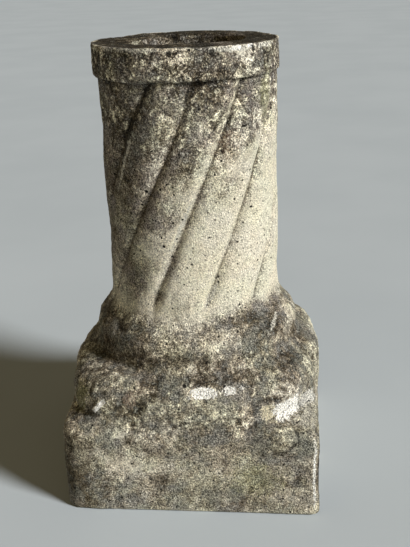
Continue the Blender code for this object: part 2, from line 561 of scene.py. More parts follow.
@dataclass
class Collar:
    """The plain band at the head of the shaft, and the flat top inside it."""

    foot: float = 0.4482
    radius: float = 0.0963
    lower_wear: float = 0.0028
    upper_wear: float = 0.0022
    across: float = -0.0009
    side_rows: int = 12
    wear_rows: int = 4
    ledge_rows: int = 2
    top_rows: int = 12

    def band_rows(self, top: float) -> Rows:
        """The band's side between a quarter round below and above."""
        wear = (self.lower_wear, self.upper_wear)
        height, inset = worn_band(self.foot, top, wear, (self.side_rows, self.wear_rows))
        return Rows((self.radius - inset)[:, None], height, Zone.COLLAR, across=self.across)


@dataclass
class Socket:
    """The round hole let into the top, a little behind the axis."""

    mouth_radius: float = 0.058
    floor_radius: float = 0.054
    depth: float = 0.110
    lip_wear: float = 0.0025
    set_back: float = 0.007
    wall_rows: int = 18
    floor_rows: int = 3
    lip_rows: int = 3
    wall_crowding: float = 1.6

    def lip(self, top: float) -> Rows:
        """The lip's bevel, from the flat top into the hole."""
        share = np.linspace(0.0, 1.0, self.lip_rows)
        radius = self.mouth_radius + self.lip_wear * (1.0 - share)
        height = top - self.lip_wear * share
        return Rows(radius[:, None], height, Zone.TOP, self.set_back)

    def wall_and_floor(self, top: float) -> Rows:
        """The wall, with rows crowded to its head where it is seen, and rings across the floor."""
        share = (np.arange(1, self.wall_rows + 1) / self.wall_rows) ** self.wall_crowding
        wall_radius = self.mouth_radius + (self.floor_radius - self.mouth_radius) * share
        wall_height = top - self.lip_wear - (self.depth - self.lip_wear) * share
        floor_radius = self.floor_radius * (1.0 - np.arange(1, self.floor_rows + 1) / (self.floor_rows + 1))
        radius = np.concatenate([wall_radius, floor_radius])
        height = np.concatenate([wall_height, np.full(self.floor_rows, top - self.depth)])
        return Rows(radius[:, None], height, Zone.SOCKET, self.set_back)


@dataclass(frozen=True)
class Mark:
    """One mark on the stone: an ellipsoid in which the stone is cut back, tinted, or both.

    Attributes:
        kind: what the mark is.
        angle: direction from the axis, in degrees from the front, rightwards.
        height: height over the underside, in millimetres.
        radius: distance of its middle from the axis, in millimetres.
        half_sizes: half its width along the face, half its height, and half its depth, in millimetres.
        lean: how far its width turns up to the right along the face, in degrees.
        cut: how deep the stone is cut back, in millimetres.
        strength: how strongly it colours the stone.
        squareness: how much the ellipsoid is a block, from not at all, 0, to wholly, 1.
        drop: how far its broken face falls away the way its width runs, in millimetres over half its
            width.
    """

    kind: MarkKind
    angle: float
    height: float
    radius: float
    half_sizes: tuple[float, float, float]
    lean: float = 0.0
    cut: float = 0.0
    strength: float = 1.0
    squareness: float = 0.0
    drop: float = 0.0

    def frame(self) -> Matrix:
        """The mark's own axes: along the face, up the face, and out, placed at its middle."""
        turn = math.radians(self.angle)
        out = Vector((math.sin(turn), -math.cos(turn), 0.0))
        level = Vector((math.cos(turn), math.sin(turn), 0.0))
        lean = math.radians(self.lean)
        along = math.cos(lean) * level + math.sin(lean) * Vector((0.0, 0.0, 1.0))
        up = math.cos(lean) * Vector((0.0, 0.0, 1.0)) - math.sin(lean) * level
        matrix = Matrix((along, up, out)).transposed().to_4x4()
        matrix.translation = out * self.radius * MILLIMETRE + Vector((0.0, 0.0, self.height * MILLIMETRE))
        return matrix

    def rim(self) -> Rim:
        """Its rim: soft for growth and rubbing, and for breaks the more even, the squarer they are."""
        if self.kind in (MarkKind.GREEN, MarkKind.PINK, MarkKind.RUB):
            return Rim.SOFT
        return Rim.CRISP if self.squareness >= 1.0 else Rim.BLOCKY if self.squareness >= 0.5 else Rim.RAGGED

    def bite(self, points: np.ndarray) -> np.ndarray:
        """How deep the stone is cut back at each point.

        Formula: one less the length in the mark's own units, which is a blend of the round length
        and of the largest of the three coordinates, is eased and times the depth; the depth is the
        cut plus the drop times the place along the width.

        Args:
            points: the skin's points.

        Returns:
            Distance inwards in metres, which is below nought where the face stands out.
        """
        inverse = np.array(self.frame().inverted())
        local = points @ inverse[:3, :3].T + inverse[:3, 3]
        own = local / (np.array(self.half_sizes) * MILLIMETRE)
        away = np.linalg.norm(own, axis=-1)
        nearness = 1.0 - away - self.squareness * (np.abs(own).max(axis=-1) - away)
        depth = self.cut + self.drop * own[..., 0]
        return smooth_step(nearness * 2.2) * depth * MILLIMETRE


@dataclass(frozen=True)
class Pit:
    """A small round pit: its angle from the front in degrees, then its height, radius and size in mm."""

    angle: float
    height: float
    radius: float
    size: float

    def middle(self) -> tuple[float, float, float]:
        """Where it lies, in metres."""
        turn = math.radians(self.angle)
        reach = self.radius * MILLIMETRE
        return (reach * math.sin(turn), -reach * math.cos(turn), self.height * MILLIMETRE)


def front_pits() -> list[Pit]:
    """The small round pits that show on the front of the shaft, in their places."""
    return [
        Pit(-56.5, 350.9, 88.6, 1.7),
        Pit(-33.9, 351.9, 93.4, 1.2),
        Pit(-27.8, 327.0, 90.4, 1.3),
        Pit(-36.4, 316.5, 92.7, 1.3),
        Pit(-36.2, 272.4, 92.0, 1.4),
        Pit(-5.8, 311.1, 92.9, 1.3),
        Pit(1.5, 263.3, 91.8, 1.0),
        Pit(4.7, 267.0, 91.8, 1.2),
        Pit(16.2, 294.6, 92.5, 1.0),
        Pit(33.6, 331.1, 92.3, 1.2),
        Pit(47.1, 319.1, 91.8, 1.2),
        Pit(43.6, 383.6, 93.0, 1.3),
    ]


def front_marks() -> list[Mark]:
    """The chips, slots, pits and tints that show from the front, in their places, with painted shadow round a
    lobe and painted highlights on the plinth's corner and the rim.
    """
    white, buff, rub = MarkKind.WHITE_CHIP, MarkKind.BUFF_CHIP, MarkKind.RUB
    dark, green, pink = MarkKind.DARK, MarkKind.GREEN, MarkKind.PINK
    return [
        Mark(white, -36.8, 120.9, 154.6, (9.6, 2.5, 12.0), lean=49.0, squareness=1.0, drop=4.6),
        Mark(white, 8.0, 141.3, 132.5, (13.0, 5.2, 9.0), cut=1.2, squareness=0.55),
        Mark(white, 19.3, 142.3, 133.5, (6.0, 4.4, 8.0), lean=-4.0, cut=1.0, squareness=0.3, strength=0.92),
        Mark(white, 25.2, 143.6, 136.5, (2.6, 1.8, 8.0), strength=0.6),
        Mark(white, 1.6, 137.8, 134.5, (2.4, 1.7, 8.0), strength=0.6),
        Mark(buff, 34.7, 116.3, 148.8, (7.4, 8.3, 10.0), cut=1.2, squareness=0.6),
        Mark(rub, 49.0, 101.0, 168.0, (13.0, 6.0, 17.0), strength=0.38),
        Mark(rub, 55.0, 103.0, 156.0, (16.0, 5.0, 13.0), strength=0.45),
        Mark(white, 56.5, 111.5, 148.5, (20.0, 7.0, 10.0), lean=-10.0, strength=0.48, squareness=0.4),
        Mark(white, 43.4, 115.3, 151.5, (17.0, 9.5, 10.0), lean=5.0, cut=1.0, squareness=0.75),
        # Dark lines round the lobe under the right spur: a shallow cut, with painted shadow under the lobe's
        # edge.
        Mark(dark, 40.2, 95.5, 176.5, (1.3, 9.5, 9.0), cut=0.9, strength=0.55),
        Mark(dark, 38.5, 85.0, 174.7, (8.0, 1.4, 9.0), lean=51.0, cut=0.9, strength=0.60),
        Mark(dark, 35.6, 76.6, 169.3, (8.0, 2.2, 9.0), lean=20.0, cut=0.6, strength=0.50),
        # A pale line down the plinth's front right corner: a worn edge, and a painted highlight where the
        # corner catches the light.
        Mark(rub, 44.1, 56.0, 189.0, (1.3, 46.0, 5.0), strength=1.0, squareness=0.5),
        Mark(white, 44.1, 50.0, 189.0, (1.1, 36.0, 5.0), strength=0.7, squareness=0.8),
        Mark(dark, -23.3, 340.6, 91.0, (1.7, 2.0, 3.0), cut=1.8),
        Mark(dark, -13.3, 344.5, 92.6, (1.4, 1.5, 3.0), cut=1.5),
        Mark(dark, 35.7, 215.9, 92.8, (1.8, 1.8, 3.0), cut=1.8),
        Mark(dark, -31.6, 198.8, 96.4, (1.3, 1.3, 3.0), cut=1.2),
        Mark(dark, -0.6, 147.5, 129.8, (2.1, 2.0, 4.0), cut=2.0),
        Mark(dark, 10.8, 165.4, 112.0, (1.7, 1.7, 3.0), cut=1.8),
        Mark(dark, -12.7, 285.3, 92.6, (1.4, 1.5, 3.0), cut=1.4),
        Mark(dark, -14.0, 294.9, 92.7, (1.1, 1.2, 3.0), cut=1.0),
        Mark(dark, 41.5, 402.4, 92.7, (3.0, 1.3, 3.0), cut=1.2),
        Mark(rub, -39.0, 369.0, 92.5, (2.1, 30.0, 5.0), lean=-22.0, strength=0.70),
        Mark(rub, -1.2, 306.0, 91.0, (2.3, 28.0, 5.0), lean=-24.3, strength=0.85),
        Mark(rub, 16.4, 230.0, 89.0, (2.2, 16.0, 5.0), lean=-26.0, strength=0.90),
        Mark(dark, 32.2, 408.0, 90.0, (2.0, 8.5, 4.5), lean=-24.0, cut=2.6),
        Mark(dark, -21.6, 437.0, 90.0, (1.6, 8.0, 4.5), lean=-22.0, cut=1.2, strength=0.6),
        Mark(dark, 5.6, 434.0, 90.0, (1.8, 9.0, 4.5), lean=-16.0, cut=1.6, strength=0.8),
        Mark(dark, 27.2, 380.5, 91.5, (2.0, 3.2, 4.0), lean=-20.0, cut=1.8, strength=0.9),
        Mark(rub, 46.0, 103.5, 168.0, (13.0, 7.0, 13.0), strength=0.30),
        Mark(rub, 56.5, 190.0, 107.5, (15.0, 2.0, 9.0), lean=27.0, strength=0.75),
        # Pale rubbed marks on the rim's right side: worn stone, and a painted highlight where the rim's edge
        # catches the light.
        Mark(rub, 26.0, 477.5, 96.0, (12.0, 3.0, 6.0), strength=0.85, cut=0.4),
        Mark(rub, 42.0, 477.0, 96.0, (15.0, 2.8, 6.0), strength=0.9, cut=0.6),
        Mark(rub, 60.0, 477.5, 96.0, (13.0, 2.6, 6.0), strength=0.85, cut=0.4),
        Mark(white, 36.0, 477.5, 95.5, (6.5, 2.4, 5.0), strength=0.9),
        Mark(white, 46.5, 478.0, 95.5, (4.0, 2.2, 5.0), strength=0.95),
        Mark(dark, 48.8, 475.5, 95.8, (1.8, 3.6, 4.0), strength=0.9, cut=1.2),
        Mark(dark, 21.0, 475.0, 95.8, (2.8, 4.0, 4.0), strength=0.85, cut=1.0),
        Mark(dark, -3.0, 475.0, 95.8, (2.2, 3.4, 4.0), strength=0.9, cut=1.2),
        Mark(rub, 1.0, 480.0, 88.0, (22.0, 3.0, 4.5), strength=0.55),
        Mark(rub, 19.0, 480.0, 90.0, (14.0, 3.0, 4.0), strength=0.60),
        Mark(rub, -24.0, 478.0, 96.0, (26.0, 1.8, 6.0), strength=0.6),
        Mark(rub, -46.0, 478.0, 96.0, (12.0, 1.6, 6.0), strength=0.5),
        Mark(pink, 31.3, 386.0, 92.5, (11.0, 15.0, 8.0), strength=0.12),
        Mark(pink, -24.9, 130.5, 145.2, (6.0, 9.0, 10.0), strength=0.20),
        Mark(green, 62.0, 424.0, 92.5, (10.0, 26.0, 10.0), strength=0.30),
        Mark(green, 28.1, 44.0, 153.6, (26.0, 18.0, 25.0), strength=0.26),
        Mark(green, -48.1, 122.0, 158.0, (14.0, 14.0, 18.0), strength=0.35),
    ]


@dataclass
class Weathering:
    """How the stone has worn: unevenness, grain, pits, knocks and the lobes under the spurs.

    Attributes:
        left_lobe: for the lobe at the left of each face, how far its inner edge is from the face's
            middle, the radius of its inner corner, its drop, and its share of the full rise.
        right_lobe: the same for the lobe at the right.
    """

    seed: int = 11
    dip: float = 1.6
    bump: float = 0.7
    swell: float = 0.0014
    swell_cell: float = 0.045
    lump: float = 0.0011
    lump_cell: float = 0.019
    rough: float = 0.00055
    rough_cell: float = 0.0065
    pit_depth: float = 0.0013
    pit_cell: float = 0.013
    pit_share: float = 0.16
    lobe_rise: float = 0.0011
    lobe_line: float = 0.08
    left_lobe: tuple[float, ...] = (0.063, 0.040, 0.024, 0.45)
    right_lobe: tuple[float, ...] = (0.072, 0.050, 0.029, 1.0)
    zone_strength: dict[Zone, float] = field(
        default_factory=lambda: {
            Zone.PLINTH: 0.8,
            Zone.LOWER_MOULDING: 1.6,
            Zone.UPPER_MOULDING: 1.15,
            Zone.SHAFT: 0.5,
            Zone.COLLAR: 0.75,
            Zone.TOP: 0.9,
            Zone.SOCKET: 1.0,
        }
    )

    def unevenness(self, points: np.ndarray, strength: np.ndarray) -> np.ndarray:
        """How far the surface stands out or in, in metres, before any single mark.

        Formula: broad, middling and fine noises, each times its height, less the strewn pits; the
        middling noise is squared on its low side, so that hollows are rounder than bumps.

        Args:
            points: the skin's points.
            strength: how strongly each point weathers.

        Returns:
            Distance outwards along the surface's normal.
        """
        broad = self.swell * cell_noise(points, self.swell_cell, self.seed)
        middling = fractal_noise(points, self.lump_cell, 2, self.seed + 10)
        middling = np.where(middling < 0.0, -(middling**2) * self.dip, middling * self.bump) * self.lump
        fine = self.rough * fractal_noise(points, self.rough_cell, 3, self.seed + 20)
        pits = self.pit_depth * scattered_pits(points, self.pit_cell, self.pit_share, self.seed + 30)
        return (broad + middling + fine) * strength - pits * np.minimum(strength + 0.3, 1.0)

    def lobes(self, points: np.ndarray, plinth: Plinth) -> np.ndarray:
        """Height of the low leaf-shaped lobes that hang from the spurs over the plinth's faces.

        Formula: on each face, a distance that is nought beside the corner and under the top edge and
        grows inwards and downwards; the lobe is level inside one and eases down just past it, with a
        shallow line cut round it.

        Args:
            points: the skin's points.
            plinth: the block that they hang over.

        Returns:
            Distance outwards in metres.
        """
        x, y, z = points[..., 0], points[..., 1], points[..., 2]
        along = np.where(np.abs(y) >= np.abs(x), x, y)
        sides = zip(self.right_lobe, self.left_lobe)
        inner_edge, inner_radius, drop, share = (np.where(along > 0.0, *pair) for pair in sides)
        inwards = np.maximum(inner_edge + inner_radius - np.abs(along), 0.0) / inner_radius
        downwards = np.maximum(plinth.height - z, 0.0) / drop
        distance = np.sqrt(inwards**2 + downwards**2)
        lobe = smooth_step((1.08 - distance) / 0.22)
        line = np.exp(-(((distance - 1.07) / 0.07) ** 2))
        below = smooth_step((plinth.height + 0.004 - z) / 0.006)
        return self.lobe_rise * share * (lobe - self.lobe_line * line) * below


@dataclass(frozen=True)
class Patch:
    """A broad place that is darker, above nought, or lighter, below it, than what is round it: mostly dirtier
    or cleaner stone, in a few places painted shade.
    """

    angle: float
    height: float
    angle_spread: float
    height_spread: float
    amount: float


@dataclass
class GrimeAndShade:
    """Where lichen and soot have settled, as one value from clean, 0, to black, 1; a few patches are painted
    shade.
    """

    seed: int = 71
    zone_level: dict[Zone, float] = field(
        default_factory=lambda: {
            Zone.PLINTH: 0.425,
            Zone.LOWER_MOULDING: 0.48,
            Zone.UPPER_MOULDING: 0.54,
            Zone.SHAFT: 0.0,
            Zone.COLLAR: 0.57,
            Zone.TOP: 0.96,
            Zone.SOCKET: 0.74,
        }
    )
    zone_patchiness: dict[Zone, float] = field(
        default_factory=lambda: {Zone.COLLAR: 1.9, Zone.LOWER_MOULDING: 0.8, Zone.TOP: 0.7}
    )
    upper_patchiness: float = 0.65
    clean_line: float = 0.262
    clean_swing: float = 0.150
    clean_towards: float = 95.0
    clean_fade: float = 0.200
    clean_fade_swing: float = 0.110
    clean_wander: float = 0.010
    wander_cell: float = 0.035
    creep: float = 0.004
    foot_line: float = 0.2035
    foot_swing: float = 0.0070
    foot_fade: float = 0.026
    shaft_level: float = 0.68
    moulding_head: float = 0.175
    broad: float = 0.12
    broad_cell: float = 0.024
    patches: tuple[Patch, ...] = tuple(
        Patch(*row)
        for row in (
            (-58, 463, 22, 25, 0.24), (-37, 459, 5, 7, -0.26), (-29, 473, 5, 6, 0.26),
            (-14, 472, 6, 6, 0.24), (-13, 453, 12, 2.5, -0.30), (-7, 468, 3, 8, -0.24),
            (-2, 475, 2.6, 4, 0.40), (6, 472, 3.5, 7, -0.28), (19, 472, 4.5, 7, 0.30),
            (28, 457, 7, 5, 0.14), (37, 475, 11, 7, -0.48), (46, 466, 5, 8, -0.18), (58, 465, 5, 9, 0.24),
            (-62, 380, 26, 90, 0.16), (-32, 412, 8, 12, 0.12), (-17, 424, 5, 7, 0.14),
            (-6, 428, 4, 10, -0.20), (-15, 388, 4, 12, -0.24), (6, 375, 7, 15, 0.14),
            (13, 408, 5, 12, -0.10), (25, 438, 8, 12, 0.24), (36, 385, 8, 18, 0.16),
            # (54, 50) darkens the plinth's right side face as painted shade.
            (82, 428, 30, 40, 0.42), (52, 425, 12, 24, 0.11), (54, 50, 8, 70, 0.26),
            # (-68, 255) darkens the shaft's lower left: partly dirt, partly painted shade on the side away
            # from the light.
            (-68, 255, 26, 60, 0.20), (-34, 310, 20, 50, 0.02), (-4, 408, 14, 18, -0.14),
            (40, 430, 14, 18, -0.08), (42, 392, 22, 24, 0.12), (31, 352, 15, 26, 0.20),
            (55, 345, 10, 26, 0.08), (72, 392, 20, 30, 0.04), (-24, 262, 14, 34, 0.02),
            (-42, 262, 9, 26, 0.10), (-38, 232, 11, 22, 0.24), (-22, 232, 10, 12, 0.07),
            (-6, 222, 12, 12, 0.07), (-36, 89, 9, 10, 0.12), (-8, 163, 10, 8, -0.09),
            (-8, 248, 14, 30, 0.12), (-14, 300, 10, 30, 0.08), (-53, 165, 15, 14, 0.20),
            (-42, 184, 12, 10, 0.20), (-27, 162, 9, 9, 0.20), (-17, 144, 6, 11, 0.30),
            (-38, 135, 13, 14, 0.17), (-24, 121, 7, 9, 0.14), (-34, 102, 2.6, 3.5, 0.34),
            (-32, 104, 6, 5, -0.18), (-27, 94, 3.2, 4, -0.30), (-24, 87, 1.6, 6, 0.36),
            (-11, 113, 5, 3, 0.26), (0, 130, 3, 4, -0.26), (24, 143, 5, 4, -0.20), (13, 125, 8, 7, -0.08),
            (2, 180, 9, 8, -0.12), (19, 187, 11, 8, -0.24), (6, 150, 7, 5, 0.24), (20, 149, 5, 4, 0.18),
            (34, 151, 6, 7, 0.22), (37, 136, 6, 6, 0.08), (55, 150, 9, 8, 0.30), (76, 163, 7, 9, 0.16),
            (76, 190, 10, 9, -0.26), (50, 200, 24, 8, 0.30), (50, 184, 16, 9, 0.42), (64, 150, 9, 16, 0.10),
            # (31, 91) is painted shadow under the lobe below the right spur; (38, 92) keeps the lobe itself a
            # little lighter.
            (29, 102, 5, 8, 0.26), (31, 91, 6, 7, 0.18), (38, 92, 3, 5, -0.06), (38.5, 129, 8, 5, 0.26),
            (-29, 62, 10, 15, -0.28), (-15, 58, 10, 8, -0.12), (15.5, 98, 4, 7, 0.14),
            (-11, 39, 7, 8, 0.24), (-2, 26, 9, 5, 0.10), (38, 42, 4, 5, 0.20), (42, 24, 5, 14, -0.14),
            # (47.6, 45) darkens the strip of the plinth's right side face beside the corner as painted shade.
            (-43, 42, 9.5, 60, 0.36), (47.6, 45, 2.8, 55, 0.55), (42, 87, 1.8, 5.5, 0.28),
            (150, 300, 40, 120, 0.12), (-150, 120, 45, 50, 0.14),
        )
    )

    def patchiness(self, points: np.ndarray, zones: np.ndarray) -> np.ndarray:
        """How blotchy the growth is: most on the collar and the top, less towards the shaft's foot."""
        height = points[..., 2]
        on_shaft = 0.38 + 0.97 * smooth_step((height - 0.33) / 0.08)
        on_plinth = 0.20 + 0.45 * smooth_step((height - 0.07) / 0.035)
        patchiness = np.where(height < 0.21, self.upper_patchiness, on_shaft)
        patchiness = np.where(zones == Zone.PLINTH.value, on_plinth, patchiness)
        return by_zone(patchiness, zones, self.zone_patchiness)

    def level(self, points: np.ndarray, zones: np.ndarray) -> np.ndarray:
        """Amount of grime at each point, with painted shade in a few patches.

        Formula: the zone's own level, or on the shaft a rise above a clean line that swings round
        the axis, and a fall where the moulding's head runs up into the clean stone; plus a bell
        curve for each patch; plus broad noise.

        Args:
            points: the skin's points.
            zones: the zone number of each point.

        Returns:
            Values from 0 to 1.
        """
        from_front = np.degrees(np.arctan2(points[..., 0], -points[..., 1]))
        height = points[..., 2]
        level = by_zone(np.zeros(height.shape), zones, self.zone_level)
        wander = fractal_noise(points, self.wander_cell, 3, self.seed)
        swing = np.cos(np.radians(from_front - self.clean_towards))
        line = self.clean_line + self.clean_swing * swing + self.clean_wander * wander
        fade = self.clean_fade - self.clean_fade_swing * swing
        round_right = smooth_step((from_front - 10.0) / 45.0) * smooth_step((170.0 - from_front) / 40.0)
        foot_line = self.foot_line + self.foot_swing * round_right + self.creep * wander
        foot_level = smooth_step((foot_line - height) / self.foot_fade + 0.5)
        foot_level = self.zone_level[Zone.UPPER_MOULDING] * foot_level
        rise = np.maximum(self.shaft_level * smooth_step((height - line) / fade), foot_level)
        level = np.where(zones == Zone.SHAFT.value, rise, level)
        moulding_head = (zones == Zone.UPPER_MOULDING.value) & (height > self.moulding_head)
        level = np.where(moulding_head, foot_level, level)
        for patch in self.patches:
            turn = (np.mod(from_front - patch.angle + 180.0, 360.0) - 180.0) / patch.angle_spread
            lift = (height / MILLIMETRE - patch.height) / patch.height_spread
            level = level + patch.amount * np.exp(-(turn**2) - lift**2)
        broad = self.broad * fractal_noise(points, self.broad_cell, 3, self.seed + 5)
        return np.clip(level + broad * np.where(level > 0.05, 1.0, 0.3), 0.0, 1.0)


@dataclass
class Column:
    """The whole casting: it stacks the rows of each sub-assembly and weathers the skin.

    Attributes:
        ledge_rows: the rows on each ledge between mouldings.
        crease_wear: how often the creases are softened.
        crease_spread: how many rows each crease is worn to either side, from the lowest up.
        seam: the heights between which the seam over the plinth is filled.
        seam_fill: how much of it is filled, at the faces' middles.
        seam_reach: how far from a face's middle that reaches, in degrees.
        crease: the heights between which the crease between the mouldings is filled.
        crease_fill: how much of it is filled.
        fine_reach: how many rows and columns across a fine hollow or ridge is.
        fine_relief: the depth at which it counts in full.
        broad_reach: how many rows and columns across a broad one is.
        broad_relief: the depth at which that counts in full.
        shaft_hollow: how much less the shaft's hollows are darkened.
        bare_foot: the height at which hollows are darkened least, and how far that spreads.
        bare_share: how much less they are darkened there.
        top_wear: how far the flat top lies inside the solid's.
        foot_rise: the height over which the wear begins, so that the underside stays flat.
    """

    fan: Fan = field(default_factory=Fan)
    plinth: Plinth = field(default_factory=Plinth)
    lower: LowerMoulding = field(default_factory=LowerMoulding)
    upper: UpperMoulding = field(default_factory=UpperMoulding)
    shaft: Shaft = field(default_factory=Shaft)
    collar: Collar = field(default_factory=Collar)
    socket: Socket = field(default_factory=Socket)
    weathering: Weathering = field(default_factory=Weathering)
    grime_and_shade: GrimeAndShade = field(default_factory=GrimeAndShade)
    marks: list[Mark] = field(default_factory=front_marks)
    pits: list[Pit] = field(default_factory=front_pits)
    ledge_rows: int = 6
    crease_wear: int = 20
    crease_spread: tuple[float, ...] = (9.5, 13.0, 7.0)
    top: float = 0.48
    seam: tuple[float, float] = (0.0945, 0.1145)
    seam_fill: float = 0.90
    seam_reach: float = 34.0
    crease: tuple[float, float] = (0.1445, 0.1630)
    crease_fill: float = 0.62
    fine_reach: int = 3
    fine_relief: float = 0.0004
    broad_reach: int = 14
    broad_relief: float = 0.0016
    shaft_hollow: float = 0.45
    bare_foot: tuple[float, float] = (0.198, 0.014)
    bare_share: float = 0.75
    top_wear: float = 0.0004
    foot_rise: float = 0.004

    def between(self, lower: np.ndarray, upper: np.ndarray, count: int) -> np.ndarray:
        """Rows of points spread evenly between two rows, without either of them."""
        share = (np.arange(1, count + 1) / (count + 1))[:, None, None]
        return (1.0 - share) * lower[None] + share * upper[None]

    def stack(self) -> tuple[np.ndarray, np.ndarray, np.ndarray]:
        """The unworn skin.

        Returns:
            Points, rows by columns by three; the zone number of each row; and how strongly each
            row is worn soft, which is most at the creases between sub-assemblies.
        """
        less_crowded = np.linspace(1.0, 0.0, self.upper.row_count)
        stretches = [
            (self.plinth.rows(self.fan), 1.0, 0),
            (self.lower.rows(self.fan), 1.0, self.ledge_rows),
            (self.upper.rows(self.shaft.radius), less_crowded, self.ledge_rows),
            (self.shaft.rows(self.fan), 0.0, 0),
            (self.collar.band_rows(self.top), 0.0, self.collar.ledge_rows),
            (self.socket.lip(self.top), 0.0, self.collar.top_rows),
            (self.socket.wall_and_floor(self.top), 0.0, 0),
        ]
        blocks, zones, joints = [], [], []
        for rows, crowd, gap in stretches:
            points = rows.place(self.fan.angles(np.broadcast_to(crowd, rows.height.shape)))
            if gap:
                blocks.append(self.between(blocks[-1][-1], points[0], gap))
            joints.append(len(zones) + gap)
            blocks.append(points)
            zones += [rows.zone.value] * (gap + len(points))
        half_ledge = (self.ledge_rows + 1) / 2.0
        creases = (joints[1] - half_ledge, joints[2] - half_ledge, joints[3])
        row_number = np.arange(len(zones))
        wear = np.zeros(len(zones))
        for crease, spread in zip(creases, self.crease_spread):
            wear = np.maximum(wear, np.exp(-(((row_number - crease) / spread) ** 4)))
        return np.concatenate(blocks), np.array(zones), wear

    def filled(self, points: np.ndarray, low: int, high: int, amount: np.ndarray) -> None:
        """Fill a crease towards the straight line from the row below it to the row above it.

        Formula: each point moves towards the point at the same share of the way along the line.

        Args:
            points: the skin's points, which are moved in place.
            low: the last row below the crease.
            high: the first row above it.
            amount: for each column, how much of the crease is filled.
        """
        stretch = points[low : high + 1]
        steps = np.linalg.norm(np.diff(stretch, axis=0), axis=-1)
        share = np.concatenate([np.zeros((1, stretch.shape[1])), np.cumsum(steps, axis=0)])
        share = (share / share[-1])[..., None]
        line = (1.0 - share) * stretch[0] + share * stretch[-1]
        points[low : high + 1] = stretch + amount[None, :, None] * (line - stretch)

    def fill_creases(self, points: np.ndarray, zones: np.ndarray) -> None:
        """Fill the seam over the plinth's faces, and the crease between the mouldings, in part."""
        height = points[..., 2].mean(axis=1)
        row = np.arange(len(zones))
        seam_low = row[(zones == Zone.PLINTH.value) & (height < self.seam[0])].max()
        seam_high = row[(zones == Zone.LOWER_MOULDING.value) & (height > self.seam[1])].min()
        crease_low = row[(zones == Zone.LOWER_MOULDING.value) & (height < self.crease[0])].max()
        crease_high = row[(zones == Zone.UPPER_MOULDING.value) & (height > self.crease[1])].min()
        x, y = points[seam_high, :, 0], points[seam_high, :, 1]
        from_front = np.degrees(np.arctan2(x, -y))
        from_face = np.abs(np.mod(from_front + 45.0, 90.0) - 45.0)
        wander = cell_noise(points[seam_high], 0.03, self.weathering.seed + 50)
        seam = self.seam_fill * smooth_step((self.seam_reach - from_face) / 9.0)
        seam = seam * (1.0 - 0.12 * np.abs(wander))
        self.filled(points, seam_low, seam_high, seam)
        dark_corner = np.exp(-(((from_front + 42.0) / 20.0) ** 2))
        worn_front = np.exp(-(((from_front - 8.0) / 24.0) ** 2))
        crease = self.crease_fill + 0.16 * worn_front - 0.35 * dark_corner + 0.10 * wander
        self.filled(points, crease_low, crease_high, crease)

    def soften(self, points: np.ndarray, wear: np.ndarray) -> np.ndarray:
        """Draw each row towards the middle of its neighbours, as often as the crease wear says."""
        worn = points.copy()
        for _ in range(self.crease_wear):
            middle = worn.copy()
            middle[1:-1] = (worn[:-2] + worn[2:]) / 2.0
            worn += 0.9 * wear[:, None, None] * (middle - worn)
        return worn

    def normals(self, points: np.ndarray) -> np.ndarray:
        """Outward unit normals: the cross product of the steps along a row and up a column."""
        along = np.roll(points, -1, axis=1) - np.roll(points, 1, axis=1)
        upwards = np.gradient(points, axis=0)
        normal = np.cross(along, upwards)
        return normal / np.maximum(np.linalg.norm(normal, axis=-1, keepdims=True), 1e-12)

    def blurred(self, points: np.ndarray, reach: int) -> np.ndarray:
        """Points averaged with their neighbours, along rows and up columns, a number of times."""
        soft = points.copy()
        for _ in range(reach):
            soft = (np.roll(soft, 1, axis=1) + 2.0 * soft + np.roll(soft, -1, axis=1)) / 4.0
            middle = soft.copy()
            middle[1:-1] = (soft[:-2] + 2.0 * soft[1:-1] + soft[2:]) / 4.0
            soft = middle
        return soft

    def weathered(self) -> tuple[np.ndarray, np.ndarray]:
        """The finished points of the skin, and the zone number of each row."""
        points, zones, wear = self.stack()
        self.fill_creases(points, zones)
        points = self.soften(points, wear)
        normal = self.normals(points)
        strength = np.array([self.weathering.zone_strength[Zone(z)] for z in zones])
        strength = strength[:, None] * np.ones(self.fan.columns)
        lift = self.weathering.unevenness(points, strength)
        lift += self.weathering.lobes(points, self.plinth) * (zones == Zone.PLINTH.value)[:, None]
        for mark in self.marks:
            if mark.cut or mark.drop:
                lift -= mark.bite(points)
        standing = smooth_step(points[..., 2] / self.foot_rise)
        flat_top = (zones == Zone.TOP.value)[:, None]
        lift = np.where(flat_top, np.minimum(lift - self.top_wear, 0.0), lift) * standing
        worn = points + normal * lift[..., None]
        low, high = np.array(CAD_BOX[0]), np.array(CAD_BOX[1])
        return np.clip(worn, low, high), zones

    def build(self) -> bpy.types.Object:
        """The skin as a mesh object, with its attributes.

        Returns:
            The finished piece, at the origin, unturned and unscaled.
        """
        points, zones = self.weathered()
        normal = self.normals(points)
        fine = ((self.blurred(points, self.fine_reach) - points) * normal).sum(axis=-1)
        broad = ((self.blurred(points, self.broad_reach) - points) * normal).sum(axis=-1)
        hollow = np.clip(fine / self.fine_relief, 0.0, 1.0) * 0.5
        hollow = hollow + np.clip(broad / self.broad_relief, 0.0, 1.0) * 0.5
        hollow = hollow * np.where(zones == Zone.SHAFT.value, self.shaft_hollow, 1.0)[:, None]
        bare_height, bare_spread = self.bare_foot
        bare = np.exp(-(((points[..., 2] - bare_height) / bare_spread) ** 2))
        hollow = hollow * (1.0 - self.bare_share * bare)
        ridge = np.clip(-fine / self.fine_relief, 0.0, 1.0)
        grid_zones = zones[:, None] * np.ones(self.fan.columns, dtype=int)
        groove_side, groove_near = self.shaft.groove_bearings(points)
        values = {
            "grime_and_shade": self.grime_and_shade.level(points, grid_zones),
            "hollow": hollow,
            "ridge": ridge,
            "patchy": self.grime_and_shade.patchiness(points, grid_zones),
            "groove_side": groove_side,
            "groove_near": groove_near,
        }
        mesh = skin_mesh(NODE + "_stone", points, values)
        piece = bpy.data.objects.new(NODE + "_stone", mesh)
        bpy.context.scene.collection.objects.link(piece)
        return piece


